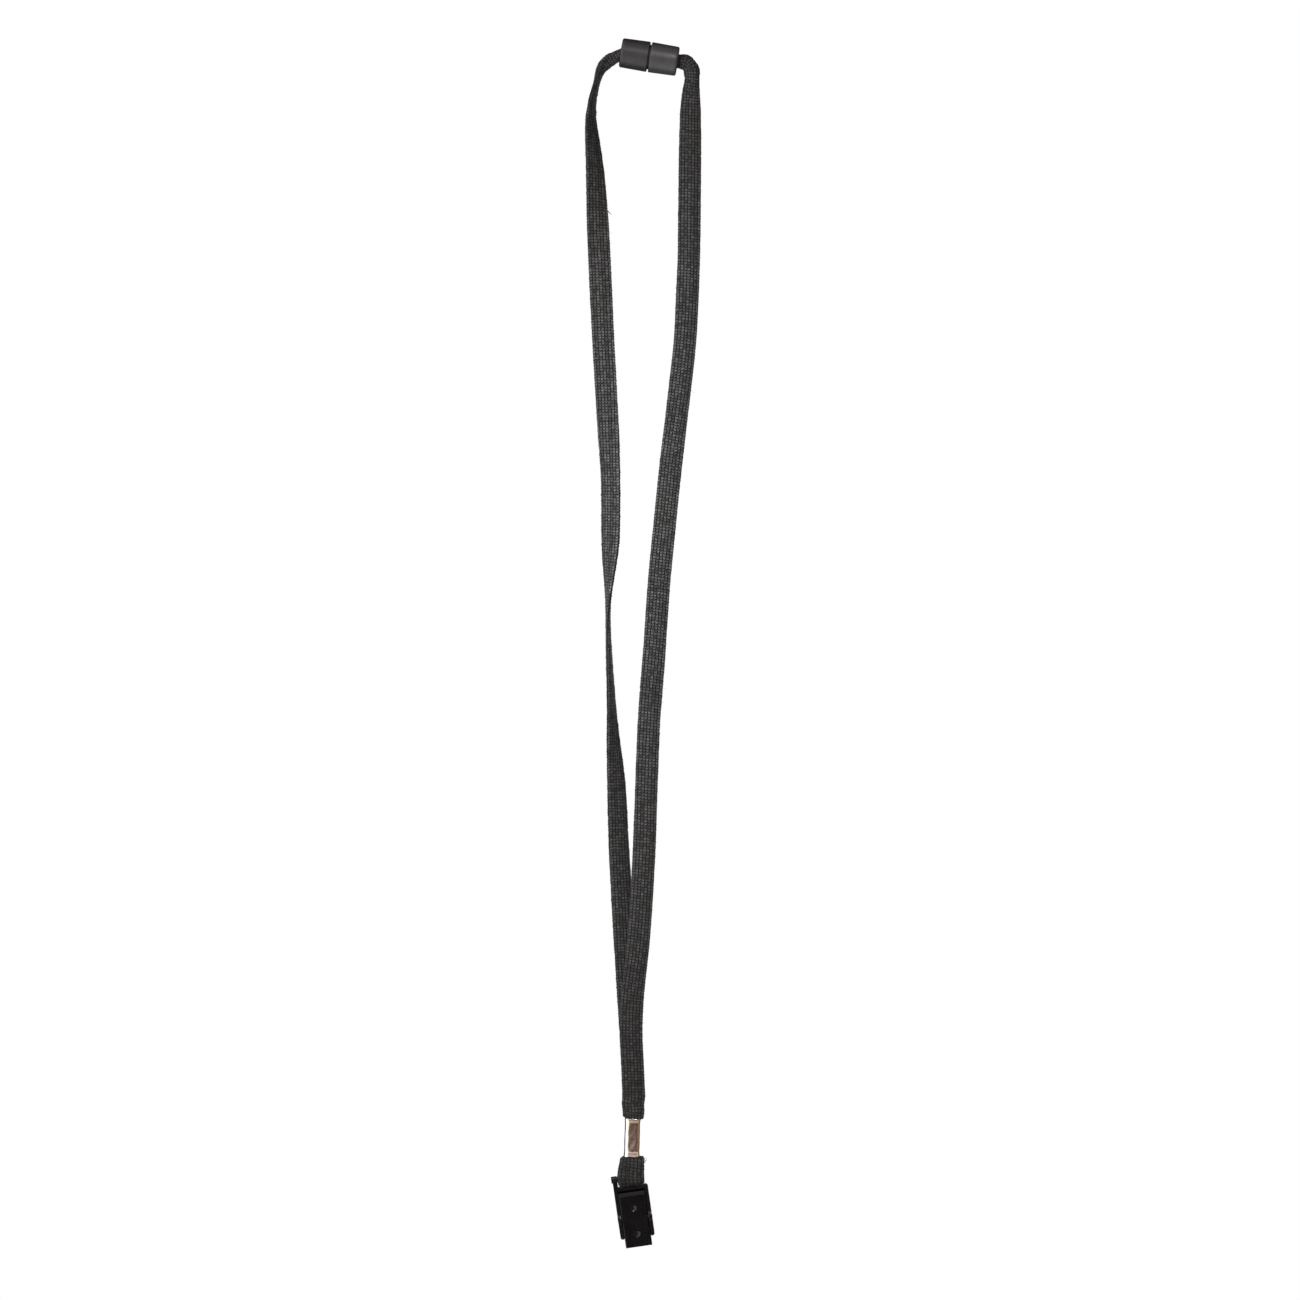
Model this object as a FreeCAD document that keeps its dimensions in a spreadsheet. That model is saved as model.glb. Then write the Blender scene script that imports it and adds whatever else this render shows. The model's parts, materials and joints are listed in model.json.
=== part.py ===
import FreeCAD, Part
import math
import os
import re

import Sketcher

# Neck lanyard, hanging at rest. Millimetres, +Z up, +X to the wearer's left, +Y towards the wearer.
# The origin is the middle of the breakaway connector at the back of the neck, on its axis.
# A flat braided strap leaves both ends of the connector, its two legs meet in a metal crimp,
# and a short loop below the crimp carries a spring clip on a crossbar.

DIMENSIONS = {
    # breakaway connector, measured along and around its own axis
    "connector_tilt": 9.0,
    "half_length": 12.1,
    "seam_gap": 0.6,
    "seam_radius": 6.35,
    "end_radius": 6.05,
    "seam_bevel": 0.45,
    "end_rounding": 0.9,
    "shell_wall": 1.2,
    "end_wall": 1.3,
    "strap_hole_radius": 3.2,
    "hole_rounding": 0.4,
    "insert_length": 5.6,
    "insert_play": 0.02,
    "bore_radius": 2.6,
    "catch_radius": 2.9,
    "catch_start": 3.4,
    "catch_length": 1.6,
    "stem_radius": 2.5,
    "stem_neck_radius": 2.15,
    "stem_reach": 5.0,
    "stem_head": 1.4,
    "stem_bevel": 0.5,
    "stem_split": 0.8,
    # crimp
    "crimp_x": -7.2,
    "crimp_z": -453.8,
    "crimp_tilt": 1.6,
    "crimp_length": 16.0,
    "crimp_width": 6.4,
    "crimp_depth": 4.1,
    "crimp_mouth_depth": 5.0,
    "crimp_mouth_width": 6.7,
    "crimp_mouth_length": 2.3,
    "crimp_corner": 1.8,
    "crimp_wall": 0.4,
    "crimp_seam": 0.25,
    # clip, in its own frame with its origin in the middle of the crossbar
    "clip_x": -8.4,
    "clip_z": -470.8,
    "clip_tilt": -8.2,
    "clip_width": 14.4,
    "crossbar_start": 7.65,
    "crossbar_reach": 6.0,
    "crossbar_radius": 1.25,
    "crossbar_end_radius": 1.45,
    "bay_width": 11.5,
    "slot_side": 5.3,
    "slot_foot": 3.6,
    "bay_drop": 5.0,
    "plate_front": 1.2,
    "plate_back": 2.8,
    "top_corner_rounding": 1.0,
    "shoulder_drop": 25.3,
    "jaw_drop": 29.2,
    "jaw_width": 11.1,
    "post_front": 1.2,
    "cheek_front": 1.9,
    "cheek_foot_front": 0.6,
    "ear_radius": 2.9,
    "pivot_drop": 17.0,
    "pivot_front": 0.1,
    "pin_radius": 0.6,
    "pin_overhang": 0.15,
    "pin_play": 0.05,
    "jaw_rounding": 0.9,
    # lever
    "lever_width": 11.1,
    "lever_drop": 5.6,
    "lever_wall": 1.6,
    "lever_top_front": 4.0,
    "lever_foot_front": 0.6,
    "jaw_pad": 3.0,
    "jaw_play": 0.02,
    "lever_boss_radius": 1.2,
    "lever_rounding": 0.5,
    "thumb_bevel": 1.6,
    "thumb_bevel_depth": 0.55,
    "dimple_radius": 1.9,
    "dimple_depth": 0.6,
    "upper_dimple_drop": 12.6,
    "lower_dimple_drop": 23.7,
    # leaf spring between the base plate and the lever
    "spring_thickness": 0.3,
    "spring_width": 4.0,
    "spring_drop": 14.0,
    "spring_top_drop": 7.4,
    "spring_turn": 0.7,
    "spring_play": 0.03,
}

# Strap stations, from the connector down: place, flat width, thickness, and the angle by which the
# strap's face is turned away from the front (90 is edge on, 180 shows its other face). The first
# five are the tied and melted end, too thick to pass the connector's hole.
STATION = ("across", "depth", "up", "width", "thickness", "facing")
LEFT_LEG = (
    (-6.9, 0.0, 1.09, 4.6, 4.6, 0.0),
    (-7.4, 0.0, 1.17, 6.6, 6.6, 0.0),
    (-8.2, 0.0, 1.3, 7.2, 7.2, 0.0),
    (-9.2, 0.0, 1.46, 6.6, 6.6, 0.0),
    (-9.8, 0.0, 1.52, 4.4, 4.2, 0.0),
    (-11.9, 0.0, 1.5, 3.8, 3.8, 0.0),
    (-14.5, 0.0, -0.1, 4.6, 4.2, -10.0),
    (-16.4, 0.0, -1.2, 5.6, 4.0, -30.0),
    (-19.0, 0.0, -3.3, 6.0, 3.4, -55.0),
    (-20.8, 0.0, -6.0, 7.5, 2.6, -75.0),
    (-21.9, 0.0, -10.0, 9.0, 2.1, -85.0),
    (-23.9, 0.0, -18.1, 9.5, 2.0, -77.0),
    (-24.8, 0.0, -26.5, 9.5, 2.0, -67.0),
    (-23.9, 0.0, -35.0, 9.5, 2.0, -53.0),
    (-22.7, 0.0, -47.0, 9.5, 2.0, -40.0),
    (-22.1, 0.0, -60.0, 9.5, 2.0, -26.0),
    (-21.3, 0.0, -77.0, 9.5, 2.0, 0.0),
    (-19.4, 0.0, -118.0, 9.5, 2.0, 8.0),
    (-17.6, 0.0, -150.0, 9.5, 2.0, 15.0),
    (-16.2, 0.0, -175.0, 9.5, 2.0, 34.0),
    (-16.2, 0.0, -203.0, 9.5, 2.0, 36.0),
    (-16.9, 0.0, -219.0, 9.5, 2.0, 66.0),
    (-17.5, 0.1, -230.0, 9.5, 2.0, 88.0),
    (-17.1, 0.4, -248.0, 9.5, 2.0, 96.0),
    (-16.0, 0.7, -270.0, 9.5, 2.0, 106.0),
    (-15.2, 0.9, -287.0, 9.5, 2.0, 120.0),
    (-13.8, 1.1, -304.0, 9.5, 2.0, 142.0),
    (-12.8, 1.3, -333.0, 9.5, 2.0, 151.0),
    (-10.0, 1.4, -377.0, 9.5, 2.0, 168.0),
    (-7.8, 1.4, -410.0, 9.5, 2.0, 180.0),
    (-6.6, 1.3, -434.0, 9.5, 2.0, 180.0),
    (-6.8, 1.2, -443.5, 9.4, 2.0, 180.0),
    (-6.95, 0.85, -445.6, 5.2, 1.6, 180.0),
    (-7.0, 0.82, -447.4, 5.0, 1.5, 180.0),
)
RIGHT_LEG = (
    (6.9, 0.0, -1.09, 4.6, 4.6, 0.0),
    (7.4, 0.0, -1.17, 6.6, 6.6, 0.0),
    (8.2, 0.0, -1.3, 7.2, 7.2, 0.0),
    (9.2, 0.0, -1.46, 6.6, 6.6, 0.0),
    (9.8, 0.0, -1.56, 5.0, 4.4, 0.0),
    (11.9, 0.0, -1.9, 5.4, 4.6, 0.0),
    (15.2, 0.0, -2.0, 6.9, 4.4, 0.0),
    (17.9, 0.0, -4.8, 6.4, 4.0, 0.0),
    (18.0, 0.0, -9.9, 6.0, 3.4, 0.0),
    (17.5, 0.0, -15.0, 7.4, 2.7, 0.0),
    (17.3, 0.0, -22.3, 8.8, 2.2, 0.0),
    (17.1, 0.0, -42.0, 9.4, 2.0, 0.0),
    (16.7, 0.0, -84.0, 9.5, 2.0, 0.0),
    (15.2, 0.0, -119.0, 9.5, 2.0, 0.0),
    (11.3, 0.0, -152.5, 9.5, 2.0, 0.0),
    (9.26, 0.0, -169.0, 9.5, 2.0, 0.0),
    (7.5, -0.1, -186.0, 9.5, 2.0, 0.0),
    (4.1, -0.2, -220.0, 9.5, 2.0, 0.0),
    (1.9, -0.5, -253.0, 9.5, 2.0, 0.0),
    (-0.2, -0.7, -278.5, 9.5, 2.0, 0.0),
    (-1.4, -1.0, -312.0, 9.5, 2.0, 0.0),
    (-2.1, -1.2, -333.0, 9.5, 2.0, 0.0),
    (-3.2, -1.3, -354.0, 9.5, 2.0, 0.0),
    (-4.8, -1.4, -375.0, 9.5, 2.0, 0.0),
    (-7.3, -1.4, -396.0, 9.5, 2.0, 0.0),
    (-7.8, -1.4, -409.0, 9.5, 2.0, 0.0),
    (-7.1, -1.35, -421.0, 9.5, 2.0, 0.0),
    (-6.4, -1.3, -438.5, 9.5, 2.0, 0.0),
)

# Stations of the short loop below the crimp, in the frame of the crimp or of the clip. The heading
# is the way the strap runs at that place: 0 goes down, 90 goes back and 180 goes up.
LOOP_STATION = ("across", "depth", "up", "heading", "width", "thickness")
CLIP_LOOP = (
    ("crimp", 0.4, -1.2, 12.2, 0.0, 9.2, 2.0),
    ("crimp", 0.3, -1.2, 10.0, 0.0, 9.0, 2.0),
    ("crimp", 0.0, -0.85, 8.0, 0.0, 5.2, 1.5),
    ("crimp", 0.0, -0.82, 7.0, 0.0, 5.0, 1.5),
    ("crimp", 0.0, -0.82, -7.2, 0.0, 5.0, 1.5),
    ("crimp", 0.0, -0.85, -8.0, 0.0, 5.4, 1.5),
    ("crimp", 0.3, -1.2, -9.2, 0.0, 9.5, 2.0),
    ("clip", 1.38, -2.2, 4.0, 0.0, 11.4, 2.0),
    ("clip", 0.6, -2.4, 0.0, 0.0, 11.3, 2.0),
    ("clip", 0.6, -1.7, -1.7, 45.0, 11.2, 2.0),
    ("clip", 0.6, 0.0, -2.4, 90.0, 11.0, 2.0),
    ("clip", 0.6, 1.7, -1.7, 135.0, 11.2, 2.0),
    ("clip", 0.6, 2.4, 0.0, 180.0, 11.3, 2.0),
    ("clip", 1.38, 2.2, 4.0, 180.0, 11.4, 2.0),
    ("crimp", 0.3, 1.2, -9.2, 180.0, 9.5, 2.0),
    ("crimp", 0.0, 0.85, -8.0, 180.0, 5.4, 1.5),
    ("crimp", 0.0, 0.82, -7.2, 180.0, 5.0, 1.5),
    ("crimp", 0.0, 0.82, 5.8, 180.0, 5.0, 1.5),
)

X_AXIS = FreeCAD.Vector(1, 0, 0)
Y_AXIS = FreeCAD.Vector(0, 1, 0)
Z_AXIS = FreeCAD.Vector(0, 0, 1)
NO_MOVE = FreeCAD.Vector(0, 0, 0)
FAR = 12.0

doc = FreeCAD.newDocument("lanyard")
sheet = doc.addObject("Spreadsheet::Sheet", "Sizes")


def fill_sheet():
    """One row per dimension: its name, its value and an alias; the strap's stations come last."""
    rows = dict(DIMENSIONS)
    for side, stations in (("left", LEFT_LEG), ("right", RIGHT_LEG)):
        for number, station in enumerate(stations):
            for column, value in zip(STATION, station):
                rows[f"{side}_{number}_{column}"] = value
    for number, station in enumerate(CLIP_LOOP):
        for column, value in zip(LOOP_STATION, station[1:]):
            rows[f"loop_{number}_{column}"] = value
    for row, (name, value) in enumerate(rows.items(), start=1):
        sheet.set(f"A{row}", name)
        sheet.set(f"B{row}", str(value))
        sheet.setAlias(f"B{row}", name)
    doc.recompute()
    return rows


NAMES = fill_sheet()


def size(name):
    """A dimension's value, read from the sheet."""
    return float(sheet.get(name))


def formula(text):
    """Turn dimension names into references to the sheet."""
    return re.sub(r"[a-z_][a-z_0-9]*", lambda word: named(word.group()), text)


def named(word):
    return f"Sizes.{word}" if word in NAMES else word


def bind(item, **sizes):
    """Bind properties of an object to formulas of the sheet."""
    for path, text in sizes.items():
        item.setExpression(path.replace("__", "."), formula(text))


def subpart(kind, label):
    item = doc.addObject(kind, label)
    item.Label = label
    return item


# ---- sketches and PartDesign features ----


def origin_plane(body, role):
    return next(item for item in body.Origin.OriginFeatures if item.Role == role)


def new_sketch(body, name, plane):
    sketch = body.newObject("Sketcher::SketchObject", name)
    sketch.AttachmentSupport = [(origin_plane(body, plane), "")]
    sketch.MapMode = "FlatFace"
    return sketch


def pin_point(sketch, element, vertex, place):
    """Hold one point of a sketch at a place given by two formulas."""
    for kind, text in zip(("DistanceX", "DistanceY"), place):
        value = float(sketch.evalExpression(formula(text)))
        number = sketch.addConstraint(Sketcher.Constraint(kind, -1, 1, element, vertex, value))
        sketch.setExpression(f"Constraints[{number}]", formula(text))


def draw_outline(sketch, corners):
    """A closed outline of straight lines through corners given as pairs of formulas."""
    places = []
    for corner in corners:
        along, up = (float(sketch.evalExpression(formula(text))) for text in corner)
        places.append(FreeCAD.Vector(along, up, 0))
    first = sketch.GeometryCount
    count = len(places)
    for number in range(count):
        line = Part.LineSegment(places[number], places[(number + 1) % count])
        sketch.addGeometry(line, False)
    for number in range(count):
        following = first + (number + 1) % count
        sketch.addConstraint(Sketcher.Constraint("Coincident", first + number, 2, following, 1))
    for number, corner in enumerate(corners):
        pin_point(sketch, first + number, 1, corner)


def draw_box(sketch, low, high):
    """An upright rectangle between two corners given as pairs of formulas."""
    draw_outline(sketch, (low, (high[0], low[1]), high, (low[0], high[1])))


def draw_circle(sketch, centre, radius):
    along, up, round_size = (
        float(sketch.evalExpression(formula(text))) for text in (*centre, radius)
    )
    ring = Part.Circle(FreeCAD.Vector(along, up, 0), Z_AXIS, round_size)
    number = sketch.addGeometry(ring, False)
    pin_point(sketch, number, 3, centre)
    held = sketch.addConstraint(Sketcher.Constraint("Radius", number, round_size))
    sketch.setExpression(f"Constraints[{held}]", formula(radius))


def draw_rounded_rectangle(sketch, width, depth, corner):
    """A rectangle about the sketch's origin with four equal round corners."""
    half_width, half_depth, rounding = (
        float(sketch.evalExpression(formula(text)))
        for text in (f"({width}) / 2", f"({depth}) / 2", corner)
    )
    inner_x = half_width - rounding
    inner_y = half_depth - rounding
    centres = ((inner_x, inner_y), (-inner_x, inner_y), (-inner_x, -inner_y), (inner_x, -inner_y))
    formulas = (f"(({width}) / 2 - ({corner}))", f"(({depth}) / 2 - ({corner}))")
    for quarter, (along, up) in enumerate(centres):
        ring = Part.Circle(FreeCAD.Vector(along, up, 0), Z_AXIS, rounding)
        start = quarter * math.pi / 2
        sketch.addGeometry(Part.ArcOfCircle(ring, start, start + math.pi / 2), False)
    for quarter in range(4):
        end = sketch.getPoint(quarter, 2)
        start = sketch.getPoint((quarter + 1) % 4, 1)
        sketch.addGeometry(Part.LineSegment(end, start), False)
    for quarter in range(4):
        line = 4 + quarter
        sketch.addConstraint(Sketcher.Constraint("Tangent", quarter, 2, line, 1))
        sketch.addConstraint(Sketcher.Constraint("Tangent", line, 2, (quarter + 1) % 4, 1))
    for quarter, (along, up) in enumerate(centres):
        signs = (math.copysign(1, along), math.copysign(1, up))
        place = tuple(f"{sign:.0f} * {text}" for sign, text in zip(signs, formulas))
        pin_point(sketch, quarter, 3, place)
    held = sketch.addConstraint(Sketcher.Constraint("Radius", 0, rounding))
    sketch.setExpression(f"Constraints[{held}]", formula(corner))


def feature(body, kind, name, sketch, **sizes):
    """Add a sketched feature, bind its sizes and make it the body's tip."""
    item = body.newObject(kind, name)
    item.Profile = sketch
    bind(item, **sizes)
    sketch.Visibility = False
    doc.recompute()
    return item


def centred_pad(body, name, sketch, length):
    pad = feature(body, "PartDesign::Pad", name, sketch, Length=length)
    pad.Midplane = True
    doc.recompute()
    return pad


def centred_pocket(body, name, sketch, length):
    """Cut a pocket to both sides of its sketch, and make sure that it removed something."""
    before = body.Shape.Volume
    pocket = feature(body, "PartDesign::Pocket", name, sketch, Length=length)
    pocket.Midplane = True
    doc.recompute()
    if body.Shape.Volume >= before:
        raise RuntimeError(f"{name} cut nothing")
    return pocket


def revolved(body, name, sketch):
    """Turn a sketch of the XY plane round the body's X axis."""
    spin = body.newObject("PartDesign::Revolution", name)
    spin.Profile = sketch
    spin.ReferenceAxis = (sketch, ["H_Axis"])
    spin.Angle = 360.0
    sketch.Visibility = False
    doc.recompute()
    return spin


def edges_where(item, test):
    """Names of the edges of a feature whose middle point and length pass a test."""
    names = []
    for number, edge in enumerate(item.Shape.Edges, start=1):
        middle = edge.valueAt((edge.FirstParameter + edge.LastParameter) / 2)
        if test(middle, edge):
            names.append(f"Edge{number}")
    if not names:
        raise RuntimeError(f"no edge of {item.Name} passes the test")
    return names


def soften(body, kind, name, base, test, amount):
    """Fillet or chamfer the edges of the last feature that pass a test."""
    item = body.newObject(kind, name)
    item.Base = (base, edges_where(base, test))
    bind(item, **{"Radius" if kind.endswith("Fillet") else "Size": amount})
    doc.recompute()
    return item


def is_straight_line(edge):
    return edge.Curve.TypeId == "Part::GeomLine"


def is_straight_along(edge, axis):
    return is_straight_line(edge) and abs(edge.Curve.Direction.dot(axis)) > 0.999


# ---- breakaway connector ----


def ring_at(place, radius):
    """Test for round edges about the connector's axis, by place along it and by radius."""

    def test(_, edge):
        if edge.Curve.TypeId != "Part::GeomCircle":
            return False
        centre = edge.Curve.Center
        return abs(centre.x - place) < 0.01 and abs(edge.Curve.Radius - radius) < 0.01

    return test


def place_on_connector(body, turned):
    """Lean a piece drawn along +X with the connector; the socket half is turned to face -X."""
    half_turn = FreeCAD.Rotation(Z_AXIS, 180 if turned else 0)
    lean = FreeCAD.Rotation(Y_AXIS, size("connector_tilt"))
    body.Placement = FreeCAD.Placement(NO_MOVE, lean.multiply(half_turn))


def connector_shell(label, turned):
    """One hollow half of the barrel, open at the seam, with a round hole for the strap."""
    body = subpart("PartDesign::Body", label)
    sketch = new_sketch(body, f"{label}_section", "XY_Plane")
    draw_outline(
        sketch,
        (
            ("seam_gap / 2", "seam_radius - shell_wall"),
            ("half_length - end_wall", "seam_radius - shell_wall"),
            ("half_length - end_wall", "strap_hole_radius"),
            ("half_length", "strap_hole_radius"),
            ("half_length", "end_radius"),
            ("half_length * 0.55", "seam_radius - 0.06"),
            ("seam_gap / 2", "seam_radius"),
        ),
    )
    shell = revolved(body, f"{label}_turned", sketch)
    outer_end = ring_at(size("half_length"), size("end_radius"))
    hole_edge = ring_at(size("half_length"), size("strap_hole_radius"))
    seam_edge = ring_at(size("seam_gap") / 2, size("seam_radius"))
    rounded = soften(
        body, "PartDesign::Fillet", f"{label}_end", shell, outer_end, "end_rounding"
    )
    eased = soften(
        body, "PartDesign::Fillet", f"{label}_hole", rounded, hole_edge, "hole_rounding"
    )
    soften(body, "PartDesign::Chamfer", f"{label}_seam", eased, seam_edge, "seam_bevel")
    place_on_connector(body, turned)
    return body


def socket_insert():
    """Catch ring of the socket half: it closes the seam and has an inner groove for the stem's head."""
    body = subpart("PartDesign::Body", "socket_insert")
    sketch = new_sketch(body, "socket_insert_section", "XY_Plane")
    outer = "seam_radius - shell_wall - insert_play"
    seam = "insert_play - seam_gap / 2"
    end = "seam_gap / 2 + insert_length"
    draw_outline(
        sketch,
        (
            (seam, "bore_radius"),
            ("catch_start", "bore_radius"),
            ("catch_start", "catch_radius"),
            ("catch_start + catch_length", "catch_radius"),
            ("catch_start + catch_length", "bore_radius"),
            (end, "bore_radius"),
            (end, outer),
            (seam, outer),
        ),
    )
    revolved(body, "socket_insert_turned", sketch)
    place_on_connector(body, True)
    return body


def plug_insert():
    """Disc behind the seam of the plug half with a split stem that reaches into the socket."""
    body = subpart("PartDesign::Body", "plug_insert")
    sketch = new_sketch(body, "plug_insert_section", "XY_Plane")
    outer = "seam_radius - shell_wall - insert_play"
    draw_outline(
        sketch,
        (
            ("0 - stem_reach", "0"),
            ("seam_gap / 2 + insert_length", "0"),
            ("seam_gap / 2 + insert_length", outer),
            ("seam_gap / 2", outer),
            ("seam_gap / 2", "stem_neck_radius"),
            ("stem_head - stem_reach + stem_bevel", "stem_neck_radius"),
            ("stem_head - stem_reach", "stem_radius"),
            ("stem_bevel - stem_reach", "stem_radius"),
            ("0 - stem_reach", "stem_radius - stem_bevel"),
        ),
    )
    revolved(body, "plug_insert_turned", sketch)
    split = new_sketch(body, "stem_split_outline", "XY_Plane")
    draw_outline(
        split,
        (
            ("0 - stem_reach - 1", "0 - stem_split / 2"),
            ("seam_gap / 2", "0 - stem_split / 2"),
            ("seam_gap / 2", "stem_split / 2"),
            ("0 - stem_reach - 1", "stem_split / 2"),
        ),
    )
    centred_pocket(body, "stem_split", split, "4 * stem_radius")
    place_on_connector(body, False)
    return body


# ---- strap ----


def strap_section(label, place, width, thickness):
    """An oval cross-section of the strap, its long axis across the strap."""
    section = doc.addObject("Part::Ellipse", label)
    bind(section, MajorRadius=f"{width} / 2", MinorRadius=f"{thickness} / 2")
    section.Placement = place
    section.Visibility = False
    return section


def skin_through(label, sections):
    """One solid through a row of sections, a straight stretch between each two of them."""
    stretches = []
    for number, pair in enumerate(zip(sections, sections[1:])):
        stretch = doc.addObject("Part::Loft", f"{label}_stretch_{number}")
        stretch.Sections = list(pair)
        stretch.Solid = True
        stretch.Ruled = True
        stretches.append(stretch)
    whole = subpart("Part::MultiFuse", label)
    whole.Shapes = stretches
    return whole


def station_point(side, number):
    return FreeCAD.Vector(*(size(f"{side}_{number}_{column}") for column in STATION[:3]))


def leg_sections(side, count):
    """Sections of one leg, square to its route and turned by each station's facing."""
    sections = []
    for number in range(count):
        before = station_point(side, max(number - 1, 0))
        after = station_point(side, min(number + 1, count - 1))
        along = (after - before).normalize()
        level = Y_AXIS.cross(along).normalize() * -1
        turn = math.radians(size(f"{side}_{number}_facing"))
        front = level.cross(along).normalize()
        across = level * math.cos(turn) - front * math.sin(turn)
        turned = FreeCAD.Rotation(across, NO_MOVE, along, "ZXY")
        stem = f"{side}_{number}"
        place = FreeCAD.Placement(station_point(side, number), turned)
        section = strap_section(f"{stem}_section", place, f"{stem}_width", f"{stem}_thickness")
        bind(
            section,
            Placement__Base__x=f"{stem}_across",
            Placement__Base__y=f"{stem}_depth",
            Placement__Base__z=f"{stem}_up",
        )
        sections.append(section)
    return sections


def strap_leg(side, count):
    return skin_through(f"strap_{side}_leg", leg_sections(side, count))


def crimp_place():
    lean = FreeCAD.Rotation(Y_AXIS, size("crimp_tilt"))
    return FreeCAD.Placement(FreeCAD.Vector(size("crimp_x"), 0, size("crimp_z")), lean)


def clip_place():
    lean = FreeCAD.Rotation(Y_AXIS, size("clip_tilt"))
    return FreeCAD.Placement(FreeCAD.Vector(size("clip_x"), 0, size("clip_z")), lean)


def strap_loop():
    """The strap's turn below the crimp: down in front, round the crossbar and up behind it."""
    frames = {"crimp": crimp_place(), "clip": clip_place()}
    sections = []
    for number, station in enumerate(CLIP_LOOP):
        stem = f"loop_{number}"
        across, depth, up, heading = (size(f"{stem}_{column}") for column in LOOP_STATION[:4])
        turn = math.radians(heading)
        along = FreeCAD.Vector(0, math.sin(turn), -math.cos(turn))
        square = FreeCAD.Rotation(X_AXIS, NO_MOVE, along, "ZXY")
        local = FreeCAD.Placement(FreeCAD.Vector(across, depth, up), square)
        place = frames[station[0]].multiply(local)
        sections.append(strap_section(f"{stem}_section", place, f"{stem}_width", f"{stem}_thickness"))
    return skin_through("strap_clip_loop", sections)


# ---- crimp ----


def crimp_ferrule():
    """An oval metal sleeve, pressed flatter between its two open mouths, with a seam behind."""
    body = subpart("PartDesign::Body", "crimp_ferrule")
    mouth = ("crimp_mouth_width", "crimp_mouth_depth")
    waist = ("crimp_width", "crimp_depth")
    waist_height = "(crimp_length / 2 - crimp_mouth_length)"
    levels = (
        (mouth, "crimp_length / 2"),
        (waist, waist_height),
        (waist, f"0 - {waist_height}"),
        (mouth, "0 - crimp_length / 2"),
    )
    lofts = (("PartDesign::AdditiveLoft", "0"), ("PartDesign::SubtractiveLoft", "crimp_wall"))
    for kind, wall in lofts:
        rings = []
        for number, ((width, depth), height) in enumerate(levels):
            ring = new_sketch(body, f"crimp_ring_{wall}_{number}", "XY_Plane")
            bind(ring, AttachmentOffset__Base__z=height)
            draw_rounded_rectangle(
                ring, f"{width} - 2 * {wall}", f"{depth} - 2 * {wall}", f"crimp_corner - {wall}"
            )
            ring.Visibility = False
            rings.append(ring)
        loft = body.newObject(kind, f"crimp_sleeve_{len(body.Group)}")
        loft.Profile = rings[0]
        loft.Sections = rings[1:]
        loft.Ruled = True
        doc.recompute()
    seam = new_sketch(body, "crimp_seam_outline", "XY_Plane")
    draw_outline(
        seam,
        (
            ("0 - crimp_seam / 2", "0"),
            ("crimp_seam / 2", "0"),
            ("crimp_seam / 2", "crimp_mouth_depth"),
            ("0 - crimp_seam / 2", "crimp_mouth_depth"),
        ),
    )
    centred_pocket(body, "crimp_seam", seam, "2 * crimp_length")
    body.Placement = crimp_place()
    return body


# ---- clip ----
# Side views are drawn on the YZ plane: first number towards the back, second number up.


def side_sketch(body, name):
    return new_sketch(body, name, "YZ_Plane")


def pad_from(body, name, sketch, start, length):
    """Pad a side view sideways from a given place."""
    bind(sketch, AttachmentOffset__Base__z=start)
    return feature(body, "PartDesign::Pad", name, sketch, Length=length)


def at_top_corner(middle, edge):
    """The corner of the open cheek, beside the slot."""
    at_side = middle.x > size("clip_width") / 2 - 0.1
    return is_straight_along(edge, Y_AXIS) and at_side and middle.z > -size("slot_foot") - 0.1


def at_jaw_heel(middle, edge):
    """The lowest edge of the back."""
    at_foot = middle.z < 0.1 - size("jaw_drop")
    return is_straight_along(edge, X_AXIS) and at_foot and middle.y > size("plate_back") - 0.1


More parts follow.
